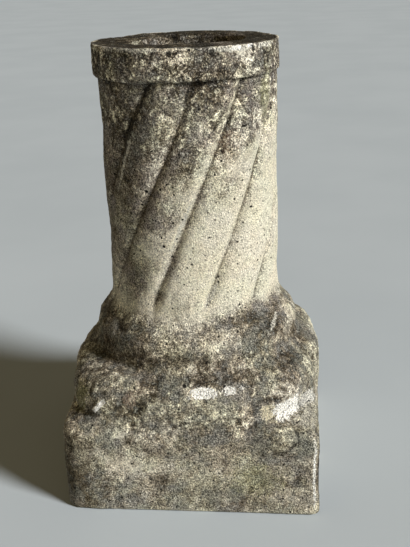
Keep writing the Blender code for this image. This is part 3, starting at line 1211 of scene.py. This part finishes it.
def skin_mesh(name: str, points: np.ndarray, values: dict[str, np.ndarray]) -> bpy.types.Mesh:
    """A closed mesh over a grid of points.

    Formula: each square of four neighbouring points is a face; the first and the last row are each
    closed by a fan of triangles about their own middle.

    Args:
        name: the mesh's name.
        points: rows by columns by three, the columns going round anticlockwise from above.
        values: one number for each point, by attribute name.

    Returns:
        The mesh, shaded smooth.
    """
    row_count, column_count = points.shape[:2]
    middles = np.stack([points[0].mean(axis=0), points[-1].mean(axis=0)])
    places = np.concatenate([points.reshape(-1, 3), middles])
    index = np.arange(row_count * column_count).reshape(row_count, column_count)
    after = np.roll(index, -1, axis=1)
    quads = np.stack([index[:-1], after[:-1], after[1:], index[1:]], axis=-1).reshape(-1, 4)
    under, floor = len(places) - 2, len(places) - 1
    bottom = np.stack([np.full(column_count, under), after[0], index[0]], axis=-1)
    top = np.stack([np.full(column_count, floor), index[-1], after[-1]], axis=-1)
    corners = np.concatenate([quads.ravel(), bottom.ravel(), top.ravel()])
    totals = np.concatenate([np.full(len(quads), 4), np.full(2 * column_count, 3)])
    mesh = bpy.data.meshes.new(name)
    mesh.vertices.add(len(places))
    mesh.vertices.foreach_set("co", places.astype(np.float32).ravel())
    mesh.loops.add(len(corners))
    mesh.loops.foreach_set("vertex_index", corners.astype(np.int32))
    mesh.polygons.add(len(totals))
    starts = np.concatenate([[0], np.cumsum(totals)[:-1]])
    mesh.polygons.foreach_set("loop_start", starts.astype(np.int32))
    mesh.update(calc_edges=True)
    mesh.validate()
    mesh.shade_smooth()
    for label, numbers in values.items():
        attribute = mesh.attributes.new(label, "FLOAT", "POINT")
        flat = np.concatenate([numbers.ravel(), numbers[0].mean()[None], numbers[-1].mean()[None]])
        attribute.data.foreach_set("value", flat.astype(np.float32))
    return mesh


class NodeSheet:
    """A short way to lay out shader nodes in a tree."""

    def __init__(self, tree: bpy.types.NodeTree) -> None:
        """Take the tree that the nodes go in."""
        self.tree = tree

    def put(self, socket: Plug, value: object) -> None:
        """Link a socket to another, or set its value."""
        if isinstance(value, Plug):
            self.tree.links.new(value, socket)
        elif value is not None:
            socket.default_value = value

    def node(self, kind: str, inputs: dict | None = None, **settings: object) -> bpy.types.Node:
        """Add a node.

        Args:
            kind: the node's type name, without its common prefix.
            inputs: values or sockets for its inputs, by name or number.
            settings: the node's own properties.

        Returns:
            The new node.
        """
        made = self.tree.nodes.new("ShaderNode" + kind)
        for name, value in settings.items():
            setattr(made, name, value)
        for key, value in (inputs or {}).items():
            self.put(made.inputs[key], value)
        return made

    def reckon(self, operation: str, *numbers: object, clamp: bool = False) -> Plug:
        """Arithmetic on one, two or three numbers."""
        return self.node("Math", dict(enumerate(numbers)), operation=operation, use_clamp=clamp).outputs[0]

    def times(self, first: object, *others: object) -> Plug:
        """Product of numbers, from left to right."""
        for other in others:
            first = self.reckon("MULTIPLY", first, other)
        return first

    def fused(self, first: object, second: object, third: object, clamp: bool = False) -> Plug:
        """Product of two numbers, plus a third."""
        return self.reckon("MULTIPLY_ADD", first, second, third, clamp=clamp)

    def vector(self, operation: str, first: object, second: object = None, output: str = "Value") -> Plug:
        """Arithmetic on one or two vectors."""
        return self.node("VectorMath", {0: first, 1: second}, operation=operation).outputs[output]

    def shades(self, value: object, stops: tuple[tuple[float, tuple[float, ...]], ...]) -> Plug:
        """Colour from a ramp of stops, each a place and a colour."""
        made = self.node("ValToRGB", {"Fac": value})
        ramp = made.color_ramp
        ramp.interpolation = "LINEAR"
        while len(ramp.elements) < len(stops):
            ramp.elements.new(1.0)
        for element, (place, colour) in zip(ramp.elements, stops):
            element.position = place
            element.color = colour
        return made.outputs[0]

    def ramp(
        self, value: object, low: object, high: object, to_low: float = 0.0, to_high: float = 1.0
    ) -> Plug:
        """Ease from one value to another as a number goes between two bounds."""
        items = {"Value": value, "From Min": low, "From Max": high, "To Min": to_low, "To Max": to_high}
        return self.node("MapRange", items, interpolation_type="SMOOTHSTEP", clamp=True).outputs["Result"]

    def blend(self, share: object, first: object, second: object, how: str = "MIX") -> Plug:
        """Mix two colours by a share."""
        items = {"Factor": share, 6: first, 7: second}
        return self.node("Mix", items, data_type="RGBA", blend_type=how, clamp_factor=True).outputs[2]

    def noise(self, vector: object, scale: object, detail: float = 4.0, roughness: float = 0.6) -> Plug:
        """Value of a fractal noise."""
        items = {"Vector": vector, "Scale": scale, "Detail": detail, "Roughness": roughness}
        return self.node("TexNoise", items).outputs[0]

    def cells(self, vector: object, scale: float) -> bpy.types.Node:
        """Cells of a wholly random pattern."""
        return self.node("TexVoronoi", {"Vector": vector, "Scale": scale, "Randomness": 1.0})

    def attribute(self, name: str) -> Plug:
        """Value of a mesh attribute."""
        return self.node("Attribute", attribute_name=name).outputs["Fac"]


class EffectGroup:
    """A shared effect: a node group that is built once and placed wherever it is used.

    Attributes:
        title: the group's name.
        takes: its inputs, each with its number where nothing is linked, or None for a vector.
        gives: its outputs, each with its kind.
    """

    title = ""
    takes: dict[str, float | None] = {}
    gives: dict[str, str] = {}

    def __init__(self) -> None:
        """Build the group."""
        self.tree = bpy.data.node_groups.new(self.title, "ShaderNodeTree")
        for name, default in self.takes.items():
            kind = "NodeSocketVector" if default is None else "NodeSocketFloat"
            made = self.tree.interface.new_socket(name, in_out="INPUT", socket_type=kind)
            if default is not None:
                made.default_value = default
        for name, kind in self.gives.items():
            self.tree.interface.new_socket(name, in_out="OUTPUT", socket_type="NodeSocket" + kind)
        self.sheet = NodeSheet(self.tree)
        self.source = self.tree.nodes.new("NodeGroupInput")
        self.result = self.tree.nodes.new("NodeGroupOutput")
        self.lay_out()

    def lay_out(self) -> None:
        """Fill the group with nodes. Each effect does this its own way."""
        raise NotImplementedError

    def take(self, name: str) -> Plug:
        """An input of the group, as seen from inside."""
        return self.source.outputs[name]

    def give(self, name: str, socket: Plug) -> None:
        """Feed an output of the group."""
        self.tree.links.new(socket, self.result.inputs[name])

    def place(self, sheet: NodeSheet, inputs: dict[str, object]) -> bpy.types.Node:
        """Put the group in another tree, with its own values."""
        made = sheet.node("Group", node_tree=self.tree)
        for name, value in inputs.items():
            sheet.put(made.inputs[name], value)
        return made


class Mottle(EffectGroup):
    """Uneven growth: a number that wanders above and below nought, in blotches of three sizes."""

    title = "mottle"
    noises = {"Fine": (430.0, 3.0, 0.75), "Middling": (135.0, 4.0, 0.65), "Broad": (38.0, 4.0, 0.6)}
    takes = {"Vector": None, "Fine": 1.0, "Middling": 1.0, "Broad": 1.0}
    gives = {"Value": "Float"}

    def lay_out(self) -> None:
        """Add a fine, a middling and a broad noise, each less its mean and times its own share."""
        sheet = self.sheet
        total = 0.0
        for name, noise in self.noises.items():
            wander = sheet.reckon("SUBTRACT", sheet.noise(self.take("Vector"), *noise), 0.5)
            total = sheet.fused(wander, self.take(name), total)
        self.give("Value", total)

    def blotches(self, sheet: NodeSheet, vector: Plug, fine: float, middling: float, broad: float) -> Plug:
        """Its value in another tree, with its own share of each noise."""
        shares = {"Vector": vector, "Fine": fine, "Middling": middling, "Broad": broad}
        return self.place(sheet, shares).outputs["Value"]


class Speckle(EffectGroup):
    """Dust-fine growth and bare sand: a gain about one that brightens and darkens in small specks."""

    title = "speckle"
    takes = {"Vector": None, "Strength": 1.0}
    gives = {"Gain": "Float"}

    def lay_out(self) -> None:
        """Two to the power of two fine noises, less their mean, times the strength, held off its peaks."""
        sheet = self.sheet
        vector = self.take("Vector")
        coarse = sheet.reckon("SUBTRACT", sheet.noise(vector, 620.0, 0.5, 0.5), 0.5)
        fine = sheet.reckon("SUBTRACT", sheet.noise(vector, 960.0, 0.5, 0.5), 0.5)
        power = sheet.times(sheet.reckon("ADD", fine, coarse), self.take("Strength"))
        gain = sheet.reckon("POWER", 2.0, power)
        held = sheet.fused(sheet.reckon("SUBTRACT", gain, 1.0), 0.42, 1.0)
        self.give("Gain", sheet.reckon("DIVIDE", gain, held))


class Tint(EffectGroup):
    """Slow changes of hue over the stone: mauve against olive, and ochre against slate."""

    title = "tint"
    takes = {"Vector": None, "Strength": 1.0}
    gives = {"Colour": "Color"}
    mauve: Shade = (1.080, 0.960, 1.030, 1.0)
    olive: Shade = (0.950, 1.020, 0.820, 1.0)
    ochre: Shade = (1.090, 1.000, 0.820, 1.0)
    slate: Shade = (0.920, 1.000, 1.080, 1.0)

    def lay_out(self) -> None:
        """Each pair is blended by a noise of its own, and the two blends are multiplied."""
        sheet = self.sheet
        vector = self.take("Vector")
        moved = sheet.node("Mapping", {"Vector": vector, "Location": (0.43, 0.29, 0.11)}).outputs[0]
        first = sheet.ramp(sheet.noise(vector, 27.0, 5.0, 0.68), 0.40, 0.60)
        second = sheet.ramp(sheet.noise(moved, 36.0, 5.0, 0.68), 0.40, 0.60)
        hue = sheet.blend(first, self.mauve, self.olive)
        hue = sheet.blend(1.0, hue, sheet.blend(second, self.ochre, self.slate), "MULTIPLY")
        self.give("Colour", sheet.blend(self.take("Strength"), (1.0, 1.0, 1.0, 1.0), hue))


class GrooveWearAndPaintedLight(EffectGroup):
    """How a groove looks: a dark line in it, of soot and painted shade; its right bank darkened, as dirt
    and as painted shade where the bank faces away from the light; and its left edge lightened in
    patches, as a painted highlight where it faces the light.
    """

    title = "groove_wear_and_painted_light"
    takes = {"Vector": None, "Side": 0.0, "Near": 0.0}
    gives = {"Line": "Float", "Painted light and dirt": "Float"}
    millimetres = 9.3

    def lay_out(self) -> None:
        """Ramps of the distance from the groove, in millimetres, which a noise makes uneven."""
        sheet = self.sheet
        vector = self.take("Vector")
        wander = sheet.reckon("SUBTRACT", sheet.noise(vector, 160.0, 4.0, 0.7), 0.5)
        off = sheet.fused(wander, 3.2, sheet.times(self.take("Side"), self.millimetres))
        within = sheet.ramp(self.take("Near"), -0.2, 0.5)
        patchy = sheet.ramp(sheet.noise(vector, 34.0, 3.0, 0.6), 0.30, 0.62, 0.25, 1.0)
        # The dark line at the groove's bottom: soot, and painted shade on its shaded side.
        line = sheet.ramp(sheet.reckon("ABSOLUTE", sheet.reckon("SUBTRACT", off, 0.3)), 0.2, 2.0, 1.0, 0.0)
        line = sheet.times(line, patchy, within)
        # The right bank darkened: dirt, and painted shade where it faces away from the light.
        bank = sheet.times(sheet.ramp(off, -0.5, 1.5), sheet.ramp(off, 3.0, 13.0, 1.0, 0.0))
        # The left edge lightened in patches: a painted highlight where it faces the light.
        edge = sheet.times(sheet.ramp(off, -8.0, -4.5), sheet.ramp(off, -2.8, -1.2, 1.0, 0.0))
        edge_highlight = sheet.ramp(sheet.noise(vector, 58.0, 4.0, 0.65), 0.42, 0.62, 0.0, -0.9)
        dirt_and_shade = sheet.fused(edge, edge_highlight, bank)
        self.give("Line", line)
        self.give("Painted light and dirt", sheet.times(dirt_and_shade, within))


class RaggedMark(EffectGroup):
    """An ellipsoid with a ragged rim: one inside it, nought outside."""

    title = "ragged_mark"
    takes = {
        "Place": None,
        "Coarse": 0.0,
        "Coarse share": 0.0,
        "Fine": 0.0,
        "Fine share": 0.0,
        "Softness": 0.1,
        "Squareness": 0.0,
    }
    gives = {"Mask": "Float"}

    def lay_out(self) -> None:
        """Add the rag to the distance in the mark's own units, and cut it off about one."""
        sheet = self.sheet
        length = sheet.vector("LENGTH", self.take("Place"))
        sides = sheet.vector("ABSOLUTE", self.take("Place"), output="Vector")
        side = [sheet.vector("DOT_PRODUCT", sides, tuple(axis)) for axis in np.eye(3).tolist()]
        largest = sheet.reckon("MAXIMUM", side[0], sheet.reckon("MAXIMUM", side[1], side[2]))
        apart = sheet.reckon("SUBTRACT", largest, length)
        away = sheet.fused(apart, self.take("Squareness"), length)
        for name in ("Coarse", "Fine"):
            away = sheet.fused(self.take(name), self.take(name + " share"), away)
        low = sheet.reckon("SUBTRACT", 1.0, self.take("Softness"))
        high = sheet.reckon("ADD", 1.0, self.take("Softness"))
        self.give("Mask", sheet.ramp(away, low, high, 1.0, 0.0))


class SandGrain(EffectGroup):
    """The sand and small holes of cast stone: a tone for its colour and a height for its bump."""

    title = "sand_grain"
    takes = {"Vector": None}
    gives = {"Tone": "Float", "Height": "Float", "Pinholes": "Float", "Pores": "Float"}

    def lay_out(self) -> None:
        """Grains from a fine noise and from cells, and pinholes from the cells of a coarser pattern."""
        sheet = self.sheet
        vector = self.take("Vector")
        grains = sheet.noise(vector, 880.0, 2.0, 0.7)
        clumps = sheet.noise(vector, 240.0, 3.0, 0.65)
        holes = self.hollows(sheet.cells(vector, 150.0), (0.48, 0.06, 0.18), 0.48, (-0.03, 0.03))
        pores = self.hollows(sheet.cells(vector, 330.0), (0.45, 0.0, 0.34), 0.5, (-0.08, 0.04))
        height = sheet.fused(clumps, 0.22, sheet.times(grains, 0.60))
        sand = sheet.cells(vector, 760.0).outputs["Distance"]
        for hollow, depth in ((sand, -0.26), (holes, -0.6), (pores, -0.2)):
            height = sheet.fused(hollow, depth, height)
        self.give("Tone", sheet.fused(clumps, 0.45, sheet.times(grains, 0.55)))
        self.give("Height", height)
        self.give("Pinholes", holes)
        self.give("Pores", pores)

    def hollows(
        self, cells: bpy.types.Node, sizes: tuple[float, float, float], share: float, rim: tuple[float, float]
    ) -> Plug:
        """Round hollows at the middles of some cells, picked by the cells' chance colours.

        Args:
            cells: the cells.
            sizes: the chance from which a hollow grows, its size there, and its size at most.
            share: the chance under which a cell has none.
            rim: where its rim starts and ends, past its size.

        Returns:
            One in a hollow and nought outside.
        """
        sheet = self.sheet
        chance = sheet.node("SeparateColor", {0: cells.outputs["Color"]}).outputs[0]
        size = sheet.ramp(chance, sizes[0], 1.0, sizes[1], sizes[2])
        inside = sheet.ramp(sheet.reckon("SUBTRACT", cells.outputs["Distance"], size), *rim, 1.0, 0.0)
        return sheet.times(inside, sheet.reckon("GREATER_THAN", chance, share))


@dataclass(frozen=True)
class StoneFinish:
    """Weathered cast stone: a cream body under a grey film, dark lichen, pale crusts and tints, with
    painted shade and highlights along the grooves and in a few patches.

    Attributes:
        growth: the body's colours from clean to thickly grown over, each with its place.
        film_foot: the heights between which the film changes over the shaft's foot, in metres.
        film_middle: the same half way up the shaft.
        film_neck: the same under the collar.
        hollow_darkening: how much darker a hollow is. A ridge has its own amount, and so does a groove's
            bank, whose darkening is dirt and painted shade.
        liveliness: the strength of the speckle on clean stone and on stone darkened by dirt and painted
            shade.
        tint_share: the strength of the tint on clean stone and on stone darkened by dirt and painted shade.
        coarse_rag: scale, detail and roughness of the coarse noise that breaks up rims.
        fine_rag: the same of the fine one.
        apart: how far a second pattern lies from the first, so that they have nothing in common.
    """

    growth: tuple[tuple[float, Shade], ...] = (
        (0.00, (0.840, 0.785, 0.620, 1.0)),
        (0.22, (0.612, 0.571, 0.452, 1.0)),
        (0.40, (0.380, 0.342, 0.256, 1.0)),
        (0.56, (0.203, 0.175, 0.130, 1.0)),
        (0.74, (0.085, 0.067, 0.041, 1.0)),
        (1.00, (0.020, 0.016, 0.010, 1.0)),
    )
    film: Shade = (0.248, 0.220, 0.198, 1.0)
    low_film: Shade = (0.215, 0.222, 0.205, 1.0)
    crust: Shade = (0.605, 0.578, 0.488, 1.0)
    fresh: Shade = (0.930, 0.905, 0.830, 1.0)
    buff: Shade = (0.660, 0.590, 0.420, 1.0)
    green: Shade = (0.330, 0.330, 0.130, 1.0)
    pink: Shade = (0.480, 0.290, 0.190, 1.0)
    hole: Shade = (0.014, 0.012, 0.009, 1.0)
    soot_and_painted_shade: Shade = (0.100, 0.080, 0.052, 1.0)
    film_foot: tuple[float, float] = (0.185, 0.225)
    film_middle: tuple[float, float] = (0.330, 0.380)
    film_neck: tuple[float, float] = (0.440, 0.455)
    hollow_darkening: float = 0.26
    ridge_dirt: float = -0.16
    bank_painted_light_and_dirt: float = 0.17
    crust_share: float = 0.80
    tint_share: tuple[float, float] = (0.14, 0.22)
    liveliness: tuple[float, float] = (2.6, 8.8)
    pinhole_share: float = 0.95
    pore_gain: float = -0.50
    tone_gain: float = 1.7
    line_depth: float = -0.22
    coarse_rag: tuple[float, float, float] = (170.0, 5.0, 0.75)
    fine_rag: tuple[float, float, float] = (420.0, 3.0, 0.7)
    pit_rag: float = 1.6
    pit_share: float = 0.95
    apart: tuple[float, float, float] = (0.31, 0.17, 0.23)
    roughness_low: float = 0.85
    roughness_high: float = 0.97
    specular: float = 0.2
    bump_height: float = 0.0038

    def grown_over(self, sheet: NodeSheet, place: Plug) -> tuple[Plug, ...]:
        """The body's colour under growth, without the single marks.

        Formula: the grime attribute, which holds some painted shade, more in hollows and less on ridges,
        with painted shade and highlights on the grooves' banks, plus a mottle that swells with it, looks
        up the colour of growth; a thin mauve-grey film goes over the middle levels, and cream crusts break
        through where another mottle runs high. A dark line of soot and painted shade runs in each groove.

        Args:
            sheet: the material's sheet.
            place: Object coordinates.

        Returns:
            The colour, the amount of dirt and painted shade, and the line in the grooves.
        """
        mottle = Mottle()
        shifted = sheet.node("Mapping", {"Vector": place, "Location": self.apart}).outputs[0]
        # Darker in hollows and lighter on ridges.
        dirt_and_shade = sheet.fused(sheet.attribute("hollow"), self.hollow_darkening, sheet.attribute("grime_and_shade"))
        dirt_and_shade = sheet.fused(sheet.attribute("ridge"), self.ridge_dirt, dirt_and_shade, clamp=True)
        bearings = {"Side": sheet.attribute("groove_side"), "Near": sheet.attribute("groove_near")}
        wear = GrooveWearAndPaintedLight().place(sheet, {"Vector": place} | bearings).outputs
        # Painted shade on the grooves' right banks and a painted highlight on their left edges, with some
        # dirt.
        dirt_and_shade = sheet.fused(wear["Painted light and dirt"], self.bank_painted_light_and_dirt, dirt_and_shade, clamp=True)
        blotchiness = sheet.attribute("patchy")
        evenness = sheet.ramp(blotchiness, 0.2, 1.0, 0.55, 1.0)
        own = sheet.times(mottle.blotches(sheet, place, 1.1, 1.1, 0.8), evenness)
        patchy = sheet.fused(mottle.blotches(sheet, shifted, 0.5, 2.2, 1.0), blotchiness, own)
        level = sheet.fused(patchy, sheet.ramp(dirt_and_shade, 0.0, 0.45, 0.30, 1.0), dirt_and_shade, clamp=True)
        colour = sheet.shades(level, self.growth)
        rise = sheet.node("SeparateXYZ", {0: place}).outputs[2]
        film = sheet.times(
            sheet.ramp(mottle.blotches(sheet, shifted, 0.3, 0.8, 1.6), -0.12, 0.20),
            sheet.ramp(rise, *self.film_foot, 0.50, 0.70),
            sheet.ramp(rise, *self.film_middle, 1.0, 0.70),
            sheet.ramp(rise, *self.film_neck, 1.0, 0.66),
            sheet.ramp(dirt_and_shade, 0.04, 0.46),
            sheet.ramp(dirt_and_shade, 0.70, 0.95, 1.0, 0.1),
        )
        film_colour = sheet.blend(sheet.ramp(rise, *self.film_foot), self.low_film, self.film)
        colour = sheet.blend(film, colour, film_colour)
        crust = sheet.times(
            sheet.ramp(mottle.blotches(sheet, shifted, 1.4, 1.0, 0.6), 0.08, 0.28, 0.0, self.crust_share),
            sheet.ramp(dirt_and_shade, 0.15, 0.45, 0.0, 1.0),
            sheet.reckon("SUBTRACT", 1.0, film),
            sheet.ramp(dirt_and_shade, 0.75, 1.0, 1.0, 0.25),
            evenness,
        )
        colour = sheet.blend(crust, colour, self.crust)
        # The dark line in each groove, in soot and painted shade.
        line = sheet.times(wear["Line"], sheet.ramp(dirt_and_shade, 0.0, 0.5, 0.36, 0.75))
        colour = sheet.blend(line, colour, self.soot_and_painted_shade)
        strength = sheet.ramp(dirt_and_shade, 0.05, 0.40, *self.tint_share)
        tint = Tint().place(sheet, {"Vector": place, "Strength": strength})
        return sheet.blend(1.0, colour, tint.outputs["Colour"], "MULTIPLY"), dirt_and_shade, wear["Line"]

    def build(self, marks: list[Mark], pits: list[Pit]) -> bpy.types.Material:
        """Make the material.

        Args:
            marks: the single marks, each of which colours its own place.
            pits: the small round pits.

        Returns:
            The stone, which reads Object coordinates and the skin's attributes.
        """
        material = bpy.data.materials.new("weathered_cast_stone")
        material.use_nodes = True
        tree = material.node_tree
        tree.nodes.clear()
        sheet = NodeSheet(tree)
        place = sheet.node("TexCoord").outputs["Object"]
        grain = SandGrain().place(sheet, {"Vector": place}).outputs
        colour, dirt_and_shade, line = self.grown_over(sheet, place)
        colour, fresh = self.marked(sheet, place, colour, marks, pits)
        liveliness = sheet.ramp(dirt_and_shade, 0.02, 0.45, *self.liveliness)
        liveliness = sheet.times(liveliness, sheet.ramp(fresh, 0.0, 1.0, 1.0, 0.60))
        speckle = Speckle().place(sheet, {"Vector": place, "Strength": liveliness}).outputs["Gain"]
        colour = sheet.vector("MULTIPLY", colour, speckle, "Vector")
        colour = sheet.blend(sheet.times(grain["Pinholes"], self.pinhole_share), colour, self.hole)
        gain = sheet.fused(sheet.reckon("SUBTRACT", grain["Tone"], 0.5), self.tone_gain, 1.0)
        gain = sheet.fused(grain["Pores"], self.pore_gain, gain)
        colour = sheet.vector("MULTIPLY", colour, gain, "Vector")
        height = sheet.fused(line, self.line_depth, grain["Height"])
        bump = sheet.node("Bump", {"Strength": 1.0, "Distance": self.bump_height, "Height": height})
        skin = {
            "Base Color": colour,
            "Roughness": sheet.ramp(dirt_and_shade, 0.0, 1.0, self.roughness_low, self.roughness_high),
            "Normal": bump.outputs[0],
            "Specular IOR Level": self.specular,
        }
        shader = sheet.node("BsdfPrincipled", skin)
        output = sheet.node("OutputMaterial", {"Surface": shader.outputs[0]})
        output.is_active_output = True
        return material

    def marked(
        self, sheet: NodeSheet, place: Plug, colour: Plug, marks: list[Mark], pits: list[Pit]
    ) -> tuple[Plug, ...]:
        """Lay the single marks and the round pits over a colour.

        Args:
            sheet: the material's sheet.
            place: Object coordinates.
            colour: what lies under the marks.
            marks: the marks, in the order in which they are laid on.
            pits: the small round pits.

        Returns:
            The marked colour, and how far the stone is freshly broken.
        """
        ragged_mark = RaggedMark()
        fresh = 0.0
        coarse = sheet.reckon("SUBTRACT", sheet.noise(place, *self.coarse_rag), 0.5)
        fine = sheet.reckon("SUBTRACT", sheet.noise(place, *self.fine_rag), 0.5)
        for mark in marks:
            where = mark.frame()
            spot = {
                "Vector": place,
                "Location": tuple(where.translation),
                "Rotation": tuple(where.to_euler()),
                "Scale": tuple(size * MILLIMETRE for size in mark.half_sizes),
            }
            own = sheet.node("Mapping", spot, vector_type="TEXTURE").outputs[0]
            coarse_share, fine_share, softness = mark.rim().value
            rim = {"Coarse share": coarse_share, "Fine share": fine_share, "Softness": softness}
            shape = {"Place": own, "Coarse": coarse, "Fine": fine, "Squareness": mark.squareness}
            inside = ragged_mark.place(sheet, shape | rim)
            share = sheet.times(inside.outputs["Mask"], mark.strength)
            colour = sheet.blend(share, colour, getattr(self, mark.kind.value))
            if mark.kind in (MarkKind.WHITE_CHIP, MarkKind.BUFF_CHIP):
                fresh = sheet.reckon("MAXIMUM", fresh, share)
        nearest = 9.0
        for pit in pits:
            away = sheet.vector("DISTANCE", place, pit.middle())
            nearest = sheet.reckon("MINIMUM", sheet.reckon("DIVIDE", away, pit.size * MILLIMETRE), nearest)
        ragged = sheet.fused(coarse, self.pit_rag, nearest)
        pitted = sheet.ramp(ragged, 0.8, 1.15, self.pit_share, 0.0)
        return sheet.blend(pitted, colour, self.hole), fresh


@dataclass(frozen=True)
class FloorFinish:
    """Plain pale matt floor."""

    colour: Shade = (0.515, 0.562, 0.590, 1.0)
    colour_deep: Shade = (0.485, 0.532, 0.560, 1.0)
    roughness: float = 0.9

    def build(self) -> bpy.types.Material:
        """Make the material, with a faint broad unevenness of tone."""
        material = bpy.data.materials.new("pale_floor")
        material.use_nodes = True
        material.node_tree.nodes.clear()
        sheet = NodeSheet(material.node_tree)
        place = sheet.node("TexCoord").outputs["Object"]
        tone = sheet.ramp(sheet.noise(place, 2.5, 3.0, 0.5), 0.3, 0.7)
        colour = sheet.blend(tone, self.colour, self.colour_deep)
        shader = sheet.node("BsdfPrincipled", {"Base Color": colour, "Roughness": self.roughness})
        sheet.node("OutputMaterial", {"Surface": shader.outputs[0]})
        return material


@dataclass
class Studio:
    """Pale floor and soft light, stronger from the right."""

    floor_half: float = 14.0
    key_turn: float = math.radians(62)
    key_rise: float = math.radians(30)
    key_spread: float = math.radians(14)
    key_strength: float = 4.3
    key_distance: float = 3.0
    fill_place: tuple[float, float, float] = (-1.7, -1.5, 0.9)
    fill_size: float = 1.6
    fill_power: float = 2.75
    fill_colour: tuple[float, float, float] = (1.0, 0.66, 0.20)
    aim: tuple[float, float, float] = (0.0, 0.0, 0.24)
    world_colour: Shade = (1.0, 0.85, 0.55, 1.0)
    world_strength: float = 0.126
    seen_colour: Shade = (0.413, 0.445, 0.451, 1.0)

    def floor(self) -> bpy.types.Object:
        """A flat square, level with the column's underside, made from a two by two grid."""
        side = np.array([-self.floor_half, self.floor_half])
        x, y = np.meshgrid(side, side, indexing="xy")
        places = np.stack([x.ravel(), y.ravel(), np.zeros(4)], axis=-1)
        mesh = bpy.data.meshes.new("floor")
        mesh.from_pydata(places.tolist(), [], [(0, 1, 3, 2)])
        mesh.materials.append(FloorFinish().build())
        floor = bpy.data.objects.new("floor", mesh)
        bpy.context.scene.collection.objects.link(floor)
        floor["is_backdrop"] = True
        return floor

    def lamp(self, light: bpy.types.Light, place: Vector) -> None:
        """Hang a light at a place, aimed at the column."""
        lamp = bpy.data.objects.new(light.name, light)
        lamp.location = place
        lamp.rotation_euler = (Vector(self.aim) - place).to_track_quat("-Z", "Y").to_euler()
        bpy.context.scene.collection.objects.link(lamp)

    def surroundings(self) -> bpy.types.World:
        """Dim warm light from all round, behind which the far wall is seen as plain pale grey."""
        world = bpy.data.worlds.new("studio")
        world.use_nodes = True
        world.node_tree.nodes.clear()
        sheet = NodeSheet(world.node_tree)
        light = sheet.node("Background", {"Color": self.world_colour, "Strength": self.world_strength})
        seen = sheet.node("Background", {"Color": self.seen_colour})
        path = sheet.node("LightPath").outputs["Is Camera Ray"]
        both = sheet.node("MixShader", {0: path, 1: light.outputs[0], 2: seen.outputs[0]})
        sheet.node("OutputWorld", {"Surface": both.outputs[0]})
        return world

    def build(self) -> None:
        """Set up floor, lights and the light from all round."""
        self.floor()
        key = bpy.data.lights.new("key_light", "SUN")
        key.energy, key.angle = self.key_strength, self.key_spread
        level = math.cos(self.key_rise)
        towards = (math.sin(self.key_turn) * level, -math.cos(self.key_turn) * level, math.sin(self.key_rise))
        self.lamp(key, Vector(self.aim) + self.key_distance * Vector(towards))
        fill = bpy.data.lights.new("fill_light", "AREA")
        fill.energy, fill.size, fill.color = self.fill_power, self.fill_size, self.fill_colour
        self.lamp(fill, Vector(self.fill_place))
        bpy.context.scene.world = self.surroundings()
        bpy.context.scene.view_settings.view_transform = "Standard"


@dataclass
class Viewpoint:
    """The photograph's camera, about the column's own axis.

    Attributes:
        image_height: the picture's height in pixels.
        focal_pixels: the lens's focal length in pixels.
        pitch: how far the camera looks down.
        roll: how far it is rolled.
        height: its height over the floor.
        distance: its distance from the axis.
        aside: how far it stands to the side.
        turn: how far the column is turned from it.
        sensor: the height that its sensor is taken to have, in millimetres.
    """

    image_height: float = 547.0
    focal_pixels: float = 846.2
    pitch: float = math.radians(20.63)
    roll: float = math.radians(-2.10)
    height: float = 0.5596
    distance: float = 0.8964
    aside: float = 0.0106
    turn: float = math.radians(6.06)
    sensor: float = 36.0

    def build(self) -> bpy.types.Object:
        """Make the camera and use it."""
        forward = Vector((0.0, math.cos(self.pitch), -math.sin(self.pitch)))
        level = Vector((1.0, 0.0, 0.0))
        upward = level.cross(forward)
        right = math.cos(self.roll) * level + math.sin(self.roll) * upward
        top = math.cos(self.roll) * upward - math.sin(self.roll) * level
        pose = Matrix((right, top, -forward)).transposed().to_4x4()
        pose.translation = Vector((self.aside, -self.distance, self.height))
        data = bpy.data.cameras.new("camera")
        data.sensor_width = self.sensor
        data.lens = self.focal_pixels / self.image_height * self.sensor
        camera = bpy.data.objects.new("camera", data)
        camera.matrix_world = Matrix.Rotation(self.turn, 4, "Z") @ pose
        bpy.context.scene.collection.objects.link(camera)
        bpy.context.scene.camera = camera
        return camera


def main() -> None:
    """Build the column, dress it, and set it in the studio."""
    logging.basicConfig(level=logging.INFO, format="%(message)s")
    Viewpoint().build()
    column = Column()
    piece = column.build()
    piece.data.materials.append(StoneFinish().build(column.marks, column.pits))
    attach(piece, BODY)
    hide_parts(NODE)
    piece.data.calc_loop_triangles()
    LOG.info("%s: %d triangles", piece.name, len(piece.data.loop_triangles))
    Studio().build()


if __name__ == "__main__":
    main()
